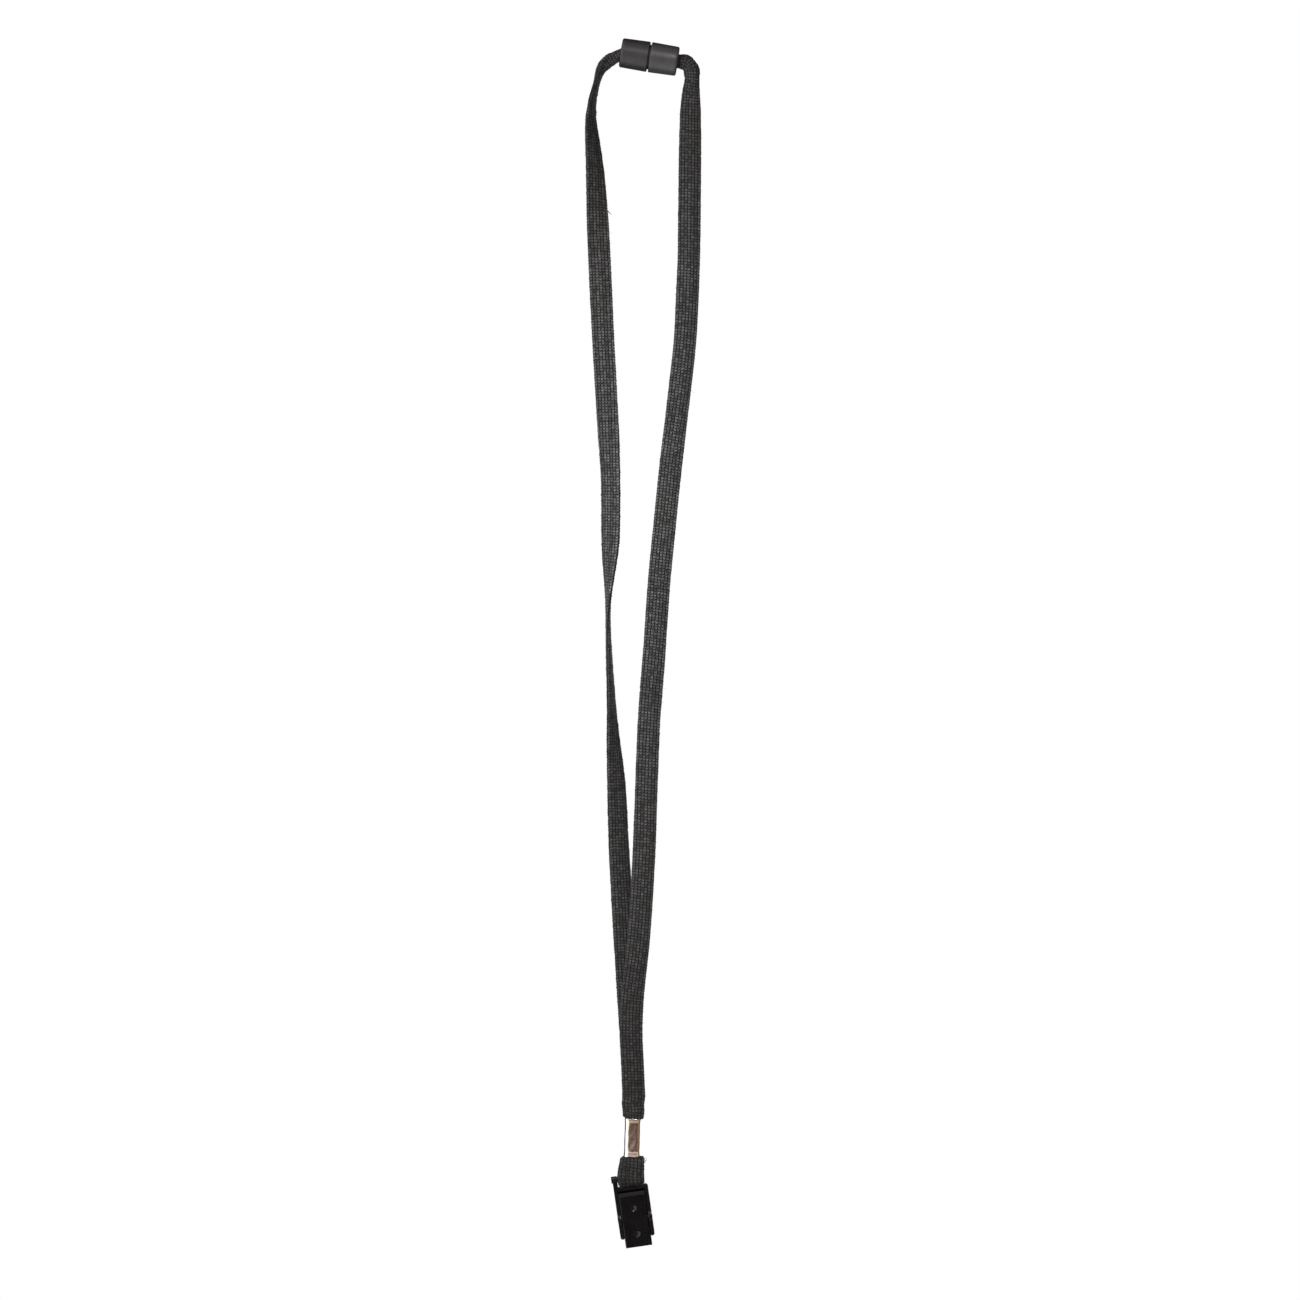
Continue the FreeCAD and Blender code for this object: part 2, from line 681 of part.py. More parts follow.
def clip_base():
    """Back plate with two cheeks, the fixed jaw, and a crossbar that stands out from one post."""
    body = subpart("PartDesign::Body", "clip_base")
    side = side_sketch(body, "base_side")
    draw_outline(
        side,
        (
            ("0 - post_front", "0"),
            ("0 - post_front", "0 - slot_foot"),
            ("0 - cheek_front", "0 - pivot_drop + ear_radius"),
            ("0 - cheek_front", "0 - pivot_drop - ear_radius"),
            ("0 - cheek_foot_front", "0 - shoulder_drop"),
            ("plate_front", "0 - shoulder_drop"),
            ("plate_front", "0 - jaw_drop"),
            ("plate_back", "0 - jaw_drop"),
            ("plate_back", "0 - slot_foot"),
            ("post_front", "0"),
        ),
    )
    centred_pad(body, "base_block", side, "clip_width")
    ear = side_sketch(body, "ear_outline")
    draw_circle(ear, ("0 - pivot_front", "0 - pivot_drop"), "ear_radius")
    centred_pad(body, "ears", ear, "clip_width")
    bay = side_sketch(body, "bay_outline")
    below = f"0 - jaw_drop - {FAR}"
    draw_box(bay, (f"0 - {FAR}", below), ("plate_front", "0 - bay_drop"))
    centred_pocket(body, "bay", bay, "bay_width")
    cuts = new_sketch(body, "front_cuts", "XZ_Plane")
    draw_box(cuts, ("0 - slot_side", "0 - slot_foot"), (str(FAR), str(FAR)))
    draw_box(cuts, ("jaw_width / 2", below), (str(FAR), "0 - shoulder_drop"))
    draw_box(cuts, (f"0 - {FAR}", below), ("0 - jaw_width / 2", "0 - shoulder_drop"))
    block = centred_pocket(body, "slot_and_shoulders", cuts, f"2 * {FAR}")

    block = soften(body, "PartDesign::Fillet", "top_corner", block, at_top_corner, "top_corner_rounding")
    soften(body, "PartDesign::Fillet", "jaw_rounding", block, at_jaw_heel, "jaw_rounding")
    post = side_sketch(body, "bar_end_outline")
    draw_circle(post, ("0", "0"), "crossbar_end_radius")
    pad_from(body, "bar_end", post, "0 - crossbar_start", "crossbar_start - slot_side")
    bar = side_sketch(body, "bar_outline")
    draw_circle(bar, ("0", "0"), "crossbar_radius")
    pad_from(body, "crossbar", bar, "0 - crossbar_start", "crossbar_start + crossbar_reach")
    pin_hole = side_sketch(body, "pin_hole_outline")
    draw_circle(pin_hole, ("0 - pivot_front", "0 - pivot_drop"), "pin_radius")
    centred_pocket(body, "pin_hole", pin_hole, "2 * clip_width")
    body.Placement = clip_place()
    return body


def lever_front(drop):
    """Formula for how far the lever's outer face stands forward at a given drop."""
    slope = "(lever_top_front - lever_foot_front) / (jaw_drop - lever_drop)"
    return f"(lever_top_front - ({drop} - lever_drop) * {slope})"


def dimple(body, name, drop):
    """A shallow round hollow in the lever's outer face."""
    ball = body.newObject("PartDesign::SubtractiveSphere", name)
    bind(
        ball,
        Radius="dimple_radius",
        AttachmentOffset__Base__y=f"0 - {lever_front(drop)} - dimple_radius + dimple_depth",
        AttachmentOffset__Base__z=f"0 - {drop}",
    )
    ball.AttachmentSupport = [(origin_plane(body, "XY_Plane"), "")]
    ball.MapMode = "FlatFace"
    doc.recompute()
    return ball


def clip_lever():
    """The front plate: a thumb end above the pivot and the moving jaw below it."""
    body = subpart("PartDesign::Body", "clip_lever")
    side = side_sketch(body, "lever_side")
    pad_top = "jaw_drop - jaw_pad"
    bevel_foot = "lever_drop + thumb_bevel"
    draw_outline(
        side,
        (
            ("thumb_bevel_depth - lever_top_front", "0 - lever_drop"),
            (f"0 - {lever_front(f'({bevel_foot})')}", f"0 - ({bevel_foot})"),
            ("0 - lever_foot_front", "0 - jaw_drop"),
            ("plate_front - jaw_play", "0 - jaw_drop"),
            ("plate_front - jaw_play", f"0 - ({pad_top})"),
            (f"lever_wall - {lever_front('(' + pad_top + ' - 1)')}", f"1 - ({pad_top})"),
            ("lever_wall - lever_top_front", "0 - lever_drop"),
        ),
    )
    centred_pad(body, "lever_plate", side, "lever_width")
    boss = side_sketch(body, "boss_outline")
    draw_circle(boss, ("0 - pivot_front", "0 - pivot_drop"), "lever_boss_radius")
    block = centred_pad(body, "lever_boss", boss, "lever_width")
    soften(body, "PartDesign::Fillet", "lever_edges", block, on_lever_front, "lever_rounding")
    hole = side_sketch(body, "lever_bore_outline")
    draw_circle(hole, ("0 - pivot_front", "0 - pivot_drop"), "pin_radius + pin_play")
    centred_pocket(body, "lever_bore", hole, "2 * lever_width")
    dimple(body, "upper_dimple", "upper_dimple_drop")
    dimple(body, "lower_dimple", "lower_dimple_drop")
    body.Placement = clip_place()
    return body


def front_at(drop):
    """How far the lever's outer face stands forward, as a number."""
    fall = (drop - size("lever_drop")) / (size("jaw_drop") - size("lever_drop"))
    return size("lever_top_front") + fall * (size("lever_foot_front") - size("lever_top_front"))


def on_lever_front(middle, edge):
    """The long edges of the lever's outer face."""
    on_face = abs(middle.y + front_at(-middle.z)) < 0.05
    return is_straight_line(edge) and on_face


def hinge_pin():
    """Steel pin through both ears and the lever's boss."""
    pin = subpart("Part::Cylinder", "hinge_pin")
    bind(pin, Radius="pin_radius", Height="clip_width + 2 * pin_overhang")
    start = FreeCAD.Vector(
        -size("clip_width") / 2 - size("pin_overhang"), -size("pivot_front"), -size("pivot_drop")
    )
    across = FreeCAD.Placement(start, FreeCAD.Rotation(Z_AXIS, X_AXIS))
    pin.Placement = clip_place().multiply(across)
    return pin


def jaw_spring():
    """A bent strip of spring steel that pushes the lever's thumb end away from the plate."""
    body = subpart("PartDesign::Body", "jaw_spring")
    back = "(plate_front - spring_play)"
    fold = f"({back} - spring_turn)"
    front_foot = f"(lever_wall + spring_play - {lever_front('spring_drop')})"
    front_top = f"(lever_wall + spring_play - {lever_front('spring_top_drop')})"
    top = "0 - spring_top_drop"
    foot = "0 - spring_drop"
    inner_foot = "spring_thickness / 3 - spring_drop"
    side = side_sketch(body, "spring_side")
    draw_outline(
        side,
        (
            (back, top),
            (back, foot),
            (fold, "0 - spring_drop - spring_turn"),
            (front_foot, foot),
            (front_top, top),
            (f"{front_top} + spring_thickness", top),
            (f"{front_foot} + spring_thickness", inner_foot),
            (fold, "spring_thickness * 1.2 - spring_drop - spring_turn"),
            (f"{back} - spring_thickness", inner_foot),
            (f"{back} - spring_thickness", top),
        ),
    )
    centred_pad(body, "spring_strip", side, "spring_width")
    body.Placement = clip_place()
    return body


def check(items):
    """Stop if any object failed to build, or a sub-part has no valid solid."""
    doc.recompute()
    for item in doc.Objects:
        if {"Invalid", "Error"} & set(item.State):
            raise RuntimeError(f"{item.Name} did not build: {item.State}")
    for item in items:
        if item.Shape.isNull() or not item.Shape.isValid() or not item.Shape.Solids:
            raise RuntimeError(f"{item.Label} has no valid solid")


SUBPARTS = [
    connector_shell("socket_shell", True),
    connector_shell("plug_shell", False),
    socket_insert(),
    plug_insert(),
    strap_leg("left", len(LEFT_LEG)),
    strap_leg("right", len(RIGHT_LEG)),
    strap_loop(),
    crimp_ferrule(),
    clip_base(),
    clip_lever(),
    hinge_pin(),
    jaw_spring(),
]
check(SUBPARTS)
os.makedirs("parts", exist_ok=True)
for item in SUBPARTS:
    item.Shape.exportStep(f"parts/{item.Label}.step")
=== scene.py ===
import json
import math

import bmesh
import bpy
import numpy as np
from mathutils import Matrix, Vector


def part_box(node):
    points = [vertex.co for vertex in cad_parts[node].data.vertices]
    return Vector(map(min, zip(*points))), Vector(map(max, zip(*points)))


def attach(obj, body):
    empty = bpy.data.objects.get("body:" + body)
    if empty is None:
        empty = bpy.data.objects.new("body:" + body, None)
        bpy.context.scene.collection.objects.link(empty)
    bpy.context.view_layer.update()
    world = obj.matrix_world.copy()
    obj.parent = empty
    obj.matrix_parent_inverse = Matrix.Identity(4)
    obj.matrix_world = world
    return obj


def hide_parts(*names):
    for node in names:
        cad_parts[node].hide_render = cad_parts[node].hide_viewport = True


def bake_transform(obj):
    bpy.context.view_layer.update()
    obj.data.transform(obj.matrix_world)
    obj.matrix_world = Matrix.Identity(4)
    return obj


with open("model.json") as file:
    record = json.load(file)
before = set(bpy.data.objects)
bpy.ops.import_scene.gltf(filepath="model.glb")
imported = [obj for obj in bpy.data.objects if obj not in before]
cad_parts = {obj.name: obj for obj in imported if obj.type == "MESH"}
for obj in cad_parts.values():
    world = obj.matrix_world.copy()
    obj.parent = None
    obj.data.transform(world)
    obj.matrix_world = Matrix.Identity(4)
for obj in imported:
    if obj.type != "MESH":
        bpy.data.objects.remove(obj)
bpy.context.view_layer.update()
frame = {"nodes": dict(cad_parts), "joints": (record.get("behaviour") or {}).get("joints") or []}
MM = 0.001
RANDOM = np.random.default_rng(11)
FRAY_RANDOM = np.random.default_rng(3)

# ---------------------------------------------------------------- sizes, in millimetres
# Cuts through the CAD straps, and how a cut's outline is read
CUT_STEP = 0.8
FINE_STEP = 0.5
BEND_FAN_DEGREES = 4
BAR_FAN_DEGREES = 10
JOIN_GAP = 0.02
SMALLEST_AREA = 0.2
FARTHEST_JUMP = 9.0
ROUND_RATIO = 1.05
FLAT_RANGE = 0.3
PATH_STEP = 0.5

# A row of a path: centre, direction across the strap, half width and half depth
CENTRE = slice(0, 3)
ACROSS = slice(3, 6)
WIDE = 6
DEEP = 7

# The strap's way: where its legs bend into the connector and where their turned stretches end
STRAP_END = 7.1
PIVOT_INSET = 2.0
LEFT_BEND_DROP = 16.0
RIGHT_BEND_DROP = 10.0
LEFT_TURN_TOP = -22.0
RIGHT_TURN_TOP = -42.0
TURN_MARGIN = 4.0
BAR_MARGIN = 1.5
BAR_TURN = 2.55
HALF_THICKNESS = 1.0

# Knitting
STITCH_LENGTH = 1.23
COLUMNS = 14
POINTS_PER_COLUMN = 6
POINTS_PER_STITCH = 5
YARN_RADIUS = 0.42
YARN_RELIEF = 0.36
STITCH_FOOT = (0.05, -0.35)
STITCH_HEAD = (0.36, 0.85)
STITCH_DIP = 0.45
STITCH_UNEVENNESS = 0.16
STITCH_JITTER = 0.08
COLUMN_DRIFT = ((0.12, 23.0), (0.05, 7.3))
HAIR_RADIUS = 0.035
HAIR_LENGTHS = (0.3, 1.1)
HAIR_CURL = 0.45
HAIR_LEAN = 0.5
# Hairs' place on the braid's ramp of painted crown highlight and painted groove shade
HAIR_RELIEF = 0.7
HAIRS_PER_MM = 2.5
BARE_END = 0.06

# Loose yarn: one pulled end on the left leg and a fray under the crimp
# Loose ends' place on the braid's ramp of painted crown highlight and painted groove shade
LOOSE_RELIEF = 0.6
LOOSE_TAPER = 0.35
EDGE_INSET = 0.3
SNAG_HEIGHT = -64.5
SNAG_RADIUS = 0.24
SNAG_RUN = (1.5, -0.4, -1.3)
SNAG_CURL = (0.3, 0, -0.5)
FRAY_DROP = 1.6
FRAY_ENDS = 9
FRAY_RADIUS = 0.1
FRAY_RUN = (0.7, -0.3, 1.0)
FRAY_SPREAD = 0.3
FRAY_CURL = 0.35

# Strap at the crimp: half width at distances beyond the rim, above and below, and inside the crimp
WIDTH_ABOVE = ((0.0, 3.0, 8.0), (4.35, 4.55, 4.75))
WIDTH_BELOW = ((0.0, 4.0, 9.0), (4.95, 5.45, 5.7))
WIDTH_INSIDE = 2.5
DEPTH_INSIDE = 0.75
INSIDE_LENGTH = 1.5
OVERHANG = 0.45
GATHER_LENGTH = 0.8

# Crimp, clip and floor
MOUTH_LENGTH = 2.3
CRIMP_WALL = 0.4
CRIMP_CORNER = 1.95
CRIMP_DENTS = ((0.03, 2.1, 4), (0.02, 0.9, 10))
SEAM_WIDTH = 0.16
FLAT_ANGLE = math.radians(1.5)
EDGE_ANGLE = math.radians(35)
CLIP_CORNER = 0.9
CLIP_SHOULDER = (7.0, -20.0)
CLIP_FOOT = (5.0, -29.0)
FLOOR_HEIGHT = -526.0
FLOOR_RADIUS = 260.0


def joint(name):
    """A joint's entry in the frame."""
    return next(item for item in frame["joints"] if item["name"] == name)


def unit(vector):
    """The same direction with length one."""
    return vector / np.linalg.norm(vector, axis=-1, keepdims=True)


class Place:
    """A frame of its own inside the row frame: an origin and three directions, in millimetres."""

    def __init__(self, origin, x_axis):
        self.origin = np.array(origin, float)
        x_axis = unit(np.array(x_axis, float))
        y_axis = np.array((0.0, 1.0, 0.0))
        self.axes = np.array((x_axis, y_axis, np.cross(x_axis, y_axis)))

    def inside(self, points):
        return (np.asarray(points) - self.origin) @ self.axes.T

    def outside(self, points):
        return np.asarray(points) @ self.axes + self.origin


def node_points(node):
    """Every vertex of a CAD node, in millimetres."""
    mesh = frame["nodes"][node].data
    points = np.empty(len(mesh.vertices) * 3)
    mesh.vertices.foreach_get("co", points)
    return points.reshape(-1, 3) / MM


def node_box(node):
    """A CAD node's lowest and highest corners, in millimetres."""
    low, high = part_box(node)
    return np.array(low) / MM, np.array(high) / MM


CONNECTOR = Place((0, 0, 0), joint("breakaway_release")["axis"])
CONNECTOR_TILT = math.atan2(CONNECTOR.axes[0][2], CONNECTOR.axes[0][0])
CLIP = Place(np.array(joint("clip_swing")["pos_m"]) / MM, joint("clip_swing")["axis"])


# ---------------------------------------------------------------- measuring the CAD straps
def node_triangles(node):
    """Corner points of every triangle of a CAD node, in millimetres."""
    mesh = frame["nodes"][node].data
    mesh.calc_loop_triangles()
    corners = np.empty(len(mesh.loop_triangles) * 3, np.int32)
    mesh.loop_triangles.foreach_get("vertices", corners)
    return node_points(node)[corners.reshape(-1, 3)]


def plane_axes(normal):
    """Two directions that span a plane, right-handed with its normal."""
    helper = np.array((0.0, 1.0, 0.0)) if abs(normal[1]) < 0.9 else np.array((1.0, 0.0, 0.0))
    first = unit(np.cross(helper, normal))
    return first, np.cross(normal, first)


def cut_lines(triangles, point, normal):
    """Where a plane cuts the triangles: start and end of each short line, in the plane's axes."""
    height = (triangles - point) @ normal
    above = height > 0
    crossing = above.any(axis=1) & ~above.all(axis=1)
    corners = triangles[crossing]
    height = height[crossing]
    first, second = plane_axes(normal)
    flat = np.stack(((corners - point) @ first, (corners - point) @ second), axis=-1)
    lines = np.empty((len(corners), 2, 2))
    for i in range(3):
        j = (i + 1) % 3
        fall = height[:, i] - height[:, j]
        share = height[:, i] / np.where(fall == 0, 1, fall)
        place = flat[:, i] + (flat[:, j] - flat[:, i]) * share[:, None]
        falls = (height[:, i] > 0) & (height[:, j] <= 0)
        rises = (height[:, i] <= 0) & (height[:, j] > 0)
        lines[falls, 0] = place[falls]
        lines[rises, 1] = place[rises]
    return lines


def closed_outlines(lines):
    """Sort loose lines into closed outlines."""
    starts, ends = lines[:, 0], lines[:, 1]
    left = np.arange(len(starts))
    outlines = []
    while len(left):
        chain = [left[0]]
        left = left[1:]
        while len(left):
            gaps = np.linalg.norm(starts[left] - ends[chain[-1]], axis=1)
            best = int(gaps.argmin())
            if gaps[best] > JOIN_GAP:
                break
            chain.append(left[best])
            left = np.delete(left, best)
        outlines.append(starts[chain])
    return outlines


def outline_shape(outline):
    """Centre, half lengths (short, long) and directions of the ellipse with the same moments."""
    p, q = outline, np.roll(outline, -1, axis=0)
    cross = p[:, 0] * q[:, 1] - q[:, 0] * p[:, 1]
    area = cross.sum() / 2
    if abs(area) < SMALLEST_AREA:
        return None
    centre = ((p + q) * cross[:, None]).sum(axis=0) / (6 * area)
    p, q = p - centre, q - centre
    cross = p[:, 0] * q[:, 1] - q[:, 0] * p[:, 1]
    pairs = 2 * p[:, :, None] * p[:, None] + 2 * q[:, :, None] * q[:, None]
    pairs += p[:, :, None] * q[:, None] + q[:, :, None] * p[:, None]
    values, axes = np.linalg.eigh((pairs * cross[:, None, None]).sum(axis=0) / 24 / area)
    return centre, 2 * np.sqrt(np.maximum(values, 1e-9)), axes


def measure(node, planes, guess):
    """Cut a CAD strap by planes in turn. Rows of centre, across, half width and half depth."""
    triangles = node_triangles(node)
    rows = []
    nearest = np.array(guess, float)
    across = np.array((1.0, 0.0, 0.0))
    for point, normal in planes:
        point, normal = np.array(point, float), unit(np.array(normal, float))
        first, second = plane_axes(normal)
        found = []
        for outline in closed_outlines(cut_lines(triangles, point, normal)):
            shape = outline_shape(outline)
            if shape:
                centre, halves, axes = shape
                middle = point + first * centre[0] + second * centre[1]
                wide = first * axes[0, 1] + second * axes[1, 1]
                found.append((np.linalg.norm(middle - nearest), middle, wide, halves))
        if not found:
            continue
        distance, middle, wide, halves = min(found, key=lambda item: item[0])
        if distance > FARTHEST_JUMP:
            continue
        if wide @ across < 0:
            wide = -wide
        flatness = np.clip((halves[1] / halves[0] - ROUND_RATIO) / FLAT_RANGE, 0, 1)
        kept = unit(across - normal * (across @ normal))
        across = unit(wide * flatness + kept * (1 - flatness))
        rows.append(np.concatenate((middle, across, (halves[1], halves[0]))))
        nearest = middle
    return np.array(rows)


def leg_planes(node, shell, side, bend_drop):
    """Level cuts up a leg, then cuts that fan round the bend into its half of the connector."""
    low, _ = node_box(node)
    shell_low, shell_high = node_box(shell)
    pivot_x = side * (max(abs(shell_low[0]), abs(shell_high[0])) - PIVOT_INSET)
    planes = level_planes(low[2] + 0.3, -bend_drop, CUT_STEP)
    for angle in np.radians(np.arange(BEND_FAN_DEGREES, 90, BEND_FAN_DEGREES)):
        planes.append(((pivot_x, 0, -bend_drop), (-side * math.sin(angle), 0, math.cos(angle))))
    for x in np.arange(abs(pivot_x), STRAP_END, -FINE_STEP):
        planes.append(((side * x, 0, 0), (-side, 0, 0)))
    return planes


def level_planes(start, stop, step):
    """Level cuts from one height to another, looked at along the way they go."""
    return [((0, 0, z), (0, 0, math.copysign(1, step))) for z in np.arange(start, stop, step)]


def bar_planes():
    """Cuts that fan round the crossbar, from in front of it, under it, to behind it."""
    planes = []
    for angle in np.radians(np.arange(0, 181, BAR_FAN_DEGREES)):
        normal = CLIP.axes[1] * math.sin(angle) - CLIP.axes[2] * math.cos(angle)
        planes.append((CLIP.origin, normal))
    return planes


# ---------------------------------------------------------------- shaping a path for a strap
def smooth(values, sigma):
    """Gaussian smoothing along the first axis that keeps both ends in place."""
    reach = int(sigma * 3 / PATH_STEP) + 1
    if len(values) <= reach + 1:
        return values
    offsets = np.arange(-reach, reach + 1)
    weights = np.exp(-0.5 * (offsets * PATH_STEP / sigma) ** 2)
    weights /= weights.sum()
    padded = np.pad(values, ((reach, reach), (0, 0)), mode="reflect", reflect_type="odd")
    return np.stack([np.convolve(column, weights, "valid") for column in padded.T], axis=1)


def lengths_along(points):
    """Distance travelled at each point of a line of points."""
    steps = np.linalg.norm(np.diff(points, axis=0), axis=1)
    return np.concatenate(((0.0,), np.cumsum(steps)))


def resample(rows, spacing):
    """Rows at an even spacing along the path."""
    travelled = lengths_along(rows[:, CENTRE])
    count = max(int(travelled[-1] / spacing), 2)
    wanted = np.linspace(0, travelled[-1], count + 1)
    return np.stack([np.interp(wanted, travelled, column) for column in rows.T], axis=1)


def ease(value):
    """Smooth step from 0 to 1."""
    value = np.clip(value, 0, 1)
    return value * value * (3 - 2 * value)


def eased_path(rows, fine=0.9, coarse=6.0, fine_length=24.0):
    """A measured path made supple: lightly smoothed near its ends and more in between."""
    rows = resample(rows, PATH_STEP)
    travelled = lengths_along(rows[:, CENTRE])
    from_end = np.minimum(travelled, travelled[-1] - travelled)
    share = ease((from_end - fine_length) / fine_length)[:, None]
    return smooth(rows, fine) * (1 - share) + smooth(rows, coarse) * share


def even_width(rows, low_z, high_z):
    """Undo the narrowing that a turned CAD stretch has between its stations."""
    inside = (rows[:, 2] > low_z) & (rows[:, 2] < high_z)
    full = np.percentile(rows[:, WIDE], 90)
    rows[inside, WIDE] = np.maximum(rows[inside, WIDE], full)
    rows[inside, DEEP] = np.minimum(rows[inside, DEEP], HALF_THICKNESS)
    return rows


# ---------------------------------------------------------------- meshes
def mesh_piece(name, vertices, polygons, uvs=None, values=None):
    """A smooth-shaded mesh object from points in millimetres and equal-sided polygon arrays."""
    mesh = bpy.data.meshes.new(name)
    corners = np.concatenate([block.ravel() for block in polygons]).astype(np.int32)
    sizes = np.concatenate([np.full(len(block), block.shape[1]) for block in polygons])
    starts = np.concatenate(((0,), np.cumsum(sizes)[:-1])).astype(np.int32)
    mesh.vertices.add(len(vertices))
    mesh.vertices.foreach_set("co", (np.asarray(vertices) * MM).astype(np.float32).ravel())
    mesh.loops.add(len(corners))
    mesh.loops.foreach_set("vertex_index", corners)
    mesh.polygons.add(len(sizes))
    mesh.polygons.foreach_set("loop_start", starts)
    if uvs is not None:
        layer = mesh.uv_layers.new(name="weave")
        layer.data.foreach_set("uv", np.asarray(uvs, np.float32).ravel())
    for title, numbers in (values or {}).items():
        attribute = mesh.attributes.new(title, "FLOAT", "POINT")
        attribute.data.foreach_set("value", np.asarray(numbers, np.float32))
    mesh.update(calc_edges=True)
    mesh.validate()
    mesh.shade_smooth()
    piece = bpy.data.objects.new(name, mesh)
    bpy.context.scene.collection.objects.link(piece)
    return piece


def tube_polygons(rings, around, offset=0):
    """Quads of a closed tube and a fan of triangles at each end, whose centres come last."""
    ring = np.arange(rings - 1)[:, None] * around
    here = np.arange(around)[None]
    following = (here + 1) % around
    above = ring + around
    quads = np.stack((ring + here, ring + following, above + following, above + here), -1)
    first_centre = rings * around
    last = (rings - 1) * around
    spokes = np.arange(around)
    turned = (spokes + 1) % around
    start_fan = np.stack((np.full(around, first_centre), turned, spokes), -1)
    end_fan = np.stack((np.full(around, first_centre + 1), last + spokes, last + turned), -1)
    return quads.reshape(-1, 4) + offset, np.concatenate((start_fan, end_fan)) + offset


# ---------------------------------------------------------------- knitted strap
def section_points(wide, deep, count):
    """Evenly spaced points round one flattened section, and their outward directions."""
    angle = np.linspace(0, 2 * math.pi, 181)
    squareness = 2.0 / (2.0 + 0.3 * np.clip(wide / deep - 1.2, 0, 1))
    along = wide * np.sign(np.cos(angle)) * np.abs(np.cos(angle)) ** squareness
    depth = deep * np.sign(np.sin(angle)) * np.abs(np.sin(angle)) ** squareness
    outline = np.stack((along, depth), axis=1)
    travelled = lengths_along(outline)
    wanted = np.arange(count) / count * travelled[-1]
    points = np.stack([np.interp(wanted, travelled, outline[:, i]) for i in (0, 1)], axis=1)
    tangent = unit(np.roll(points, -1, axis=0) - np.roll(points, 1, axis=0))
    return points, np.stack((tangent[:, 1], -tangent[:, 0]), axis=1)


def stitch_height(column, course, column_width):
    """Relief of a knitted face: in each column a chain of slanted pairs of yarn legs."""
    across = np.abs(column % 1.0 - 0.5) * column_width
    top = np.zeros_like(across)
    foot = np.array((STITCH_FOOT[0], STITCH_FOOT[1] * STITCH_LENGTH))
    head = np.array((STITCH_HEAD[0] * column_width, STITCH_HEAD[1] * STITCH_LENGTH))
    run = head - foot
    for back in (-1, 0, 1):
        up = (course % 1.0 - back) * STITCH_LENGTH
        share = ((across - foot[0]) * run[0] + (up - foot[1]) * run[1]) / (run @ run)
        share = np.clip(share, 0, 1)
        gap = np.hypot(across - foot[0] - share * run[0], up - foot[1] - share * run[1])
        round_top = np.cos(np.clip(gap / YARN_RADIUS, 0, 1) * math.pi / 2)
        arch = STITCH_DIP + (1 - STITCH_DIP) * np.sin(math.pi * share)
        top = np.maximum(top, round_top * arch)
    return top


def hairs(roots, directions):
    """Short curved fibres that stand out of a surface: their points and their quads."""
    count = len(roots)
    share = np.linspace(0, 1, 4)
    length = RANDOM.uniform(*HAIR_LENGTHS, (count, 1, 1))
    curl = RANDOM.normal(0, HAIR_CURL, (count, 1, 3))
    lean = unit(directions + RANDOM.normal(0, HAIR_LEAN, (count, 3)))
    spine = roots[:, None] + length * (lean[:, None] * share[:, None] + curl * share[:, None] ** 2)
    side = unit(np.cross(lean, RANDOM.normal(size=(count, 3))))[:, None, None]
    other = np.cross(lean[:, None, None], side)
    angle = (np.arange(3) * 2 * math.pi / 3)[:, None]
    radius = (HAIR_RADIUS * (1 - 0.7 * share))[:, None, None]
    points = spine[:, :, None] + radius * (side * np.cos(angle) + other * np.sin(angle))
    first = (np.arange(count) * 12)[:, None, None]
    step = (np.arange(3) * 3)[None, :, None]
    here = np.arange(3)[None, None]
    turned = (here + 1) % 3
    corner = first + step
    quads = np.stack((corner + here, corner + turned, corner + 3 + turned, corner + 3 + here), -1)
    return points.reshape(-1, 3), quads.reshape(-1, 4)


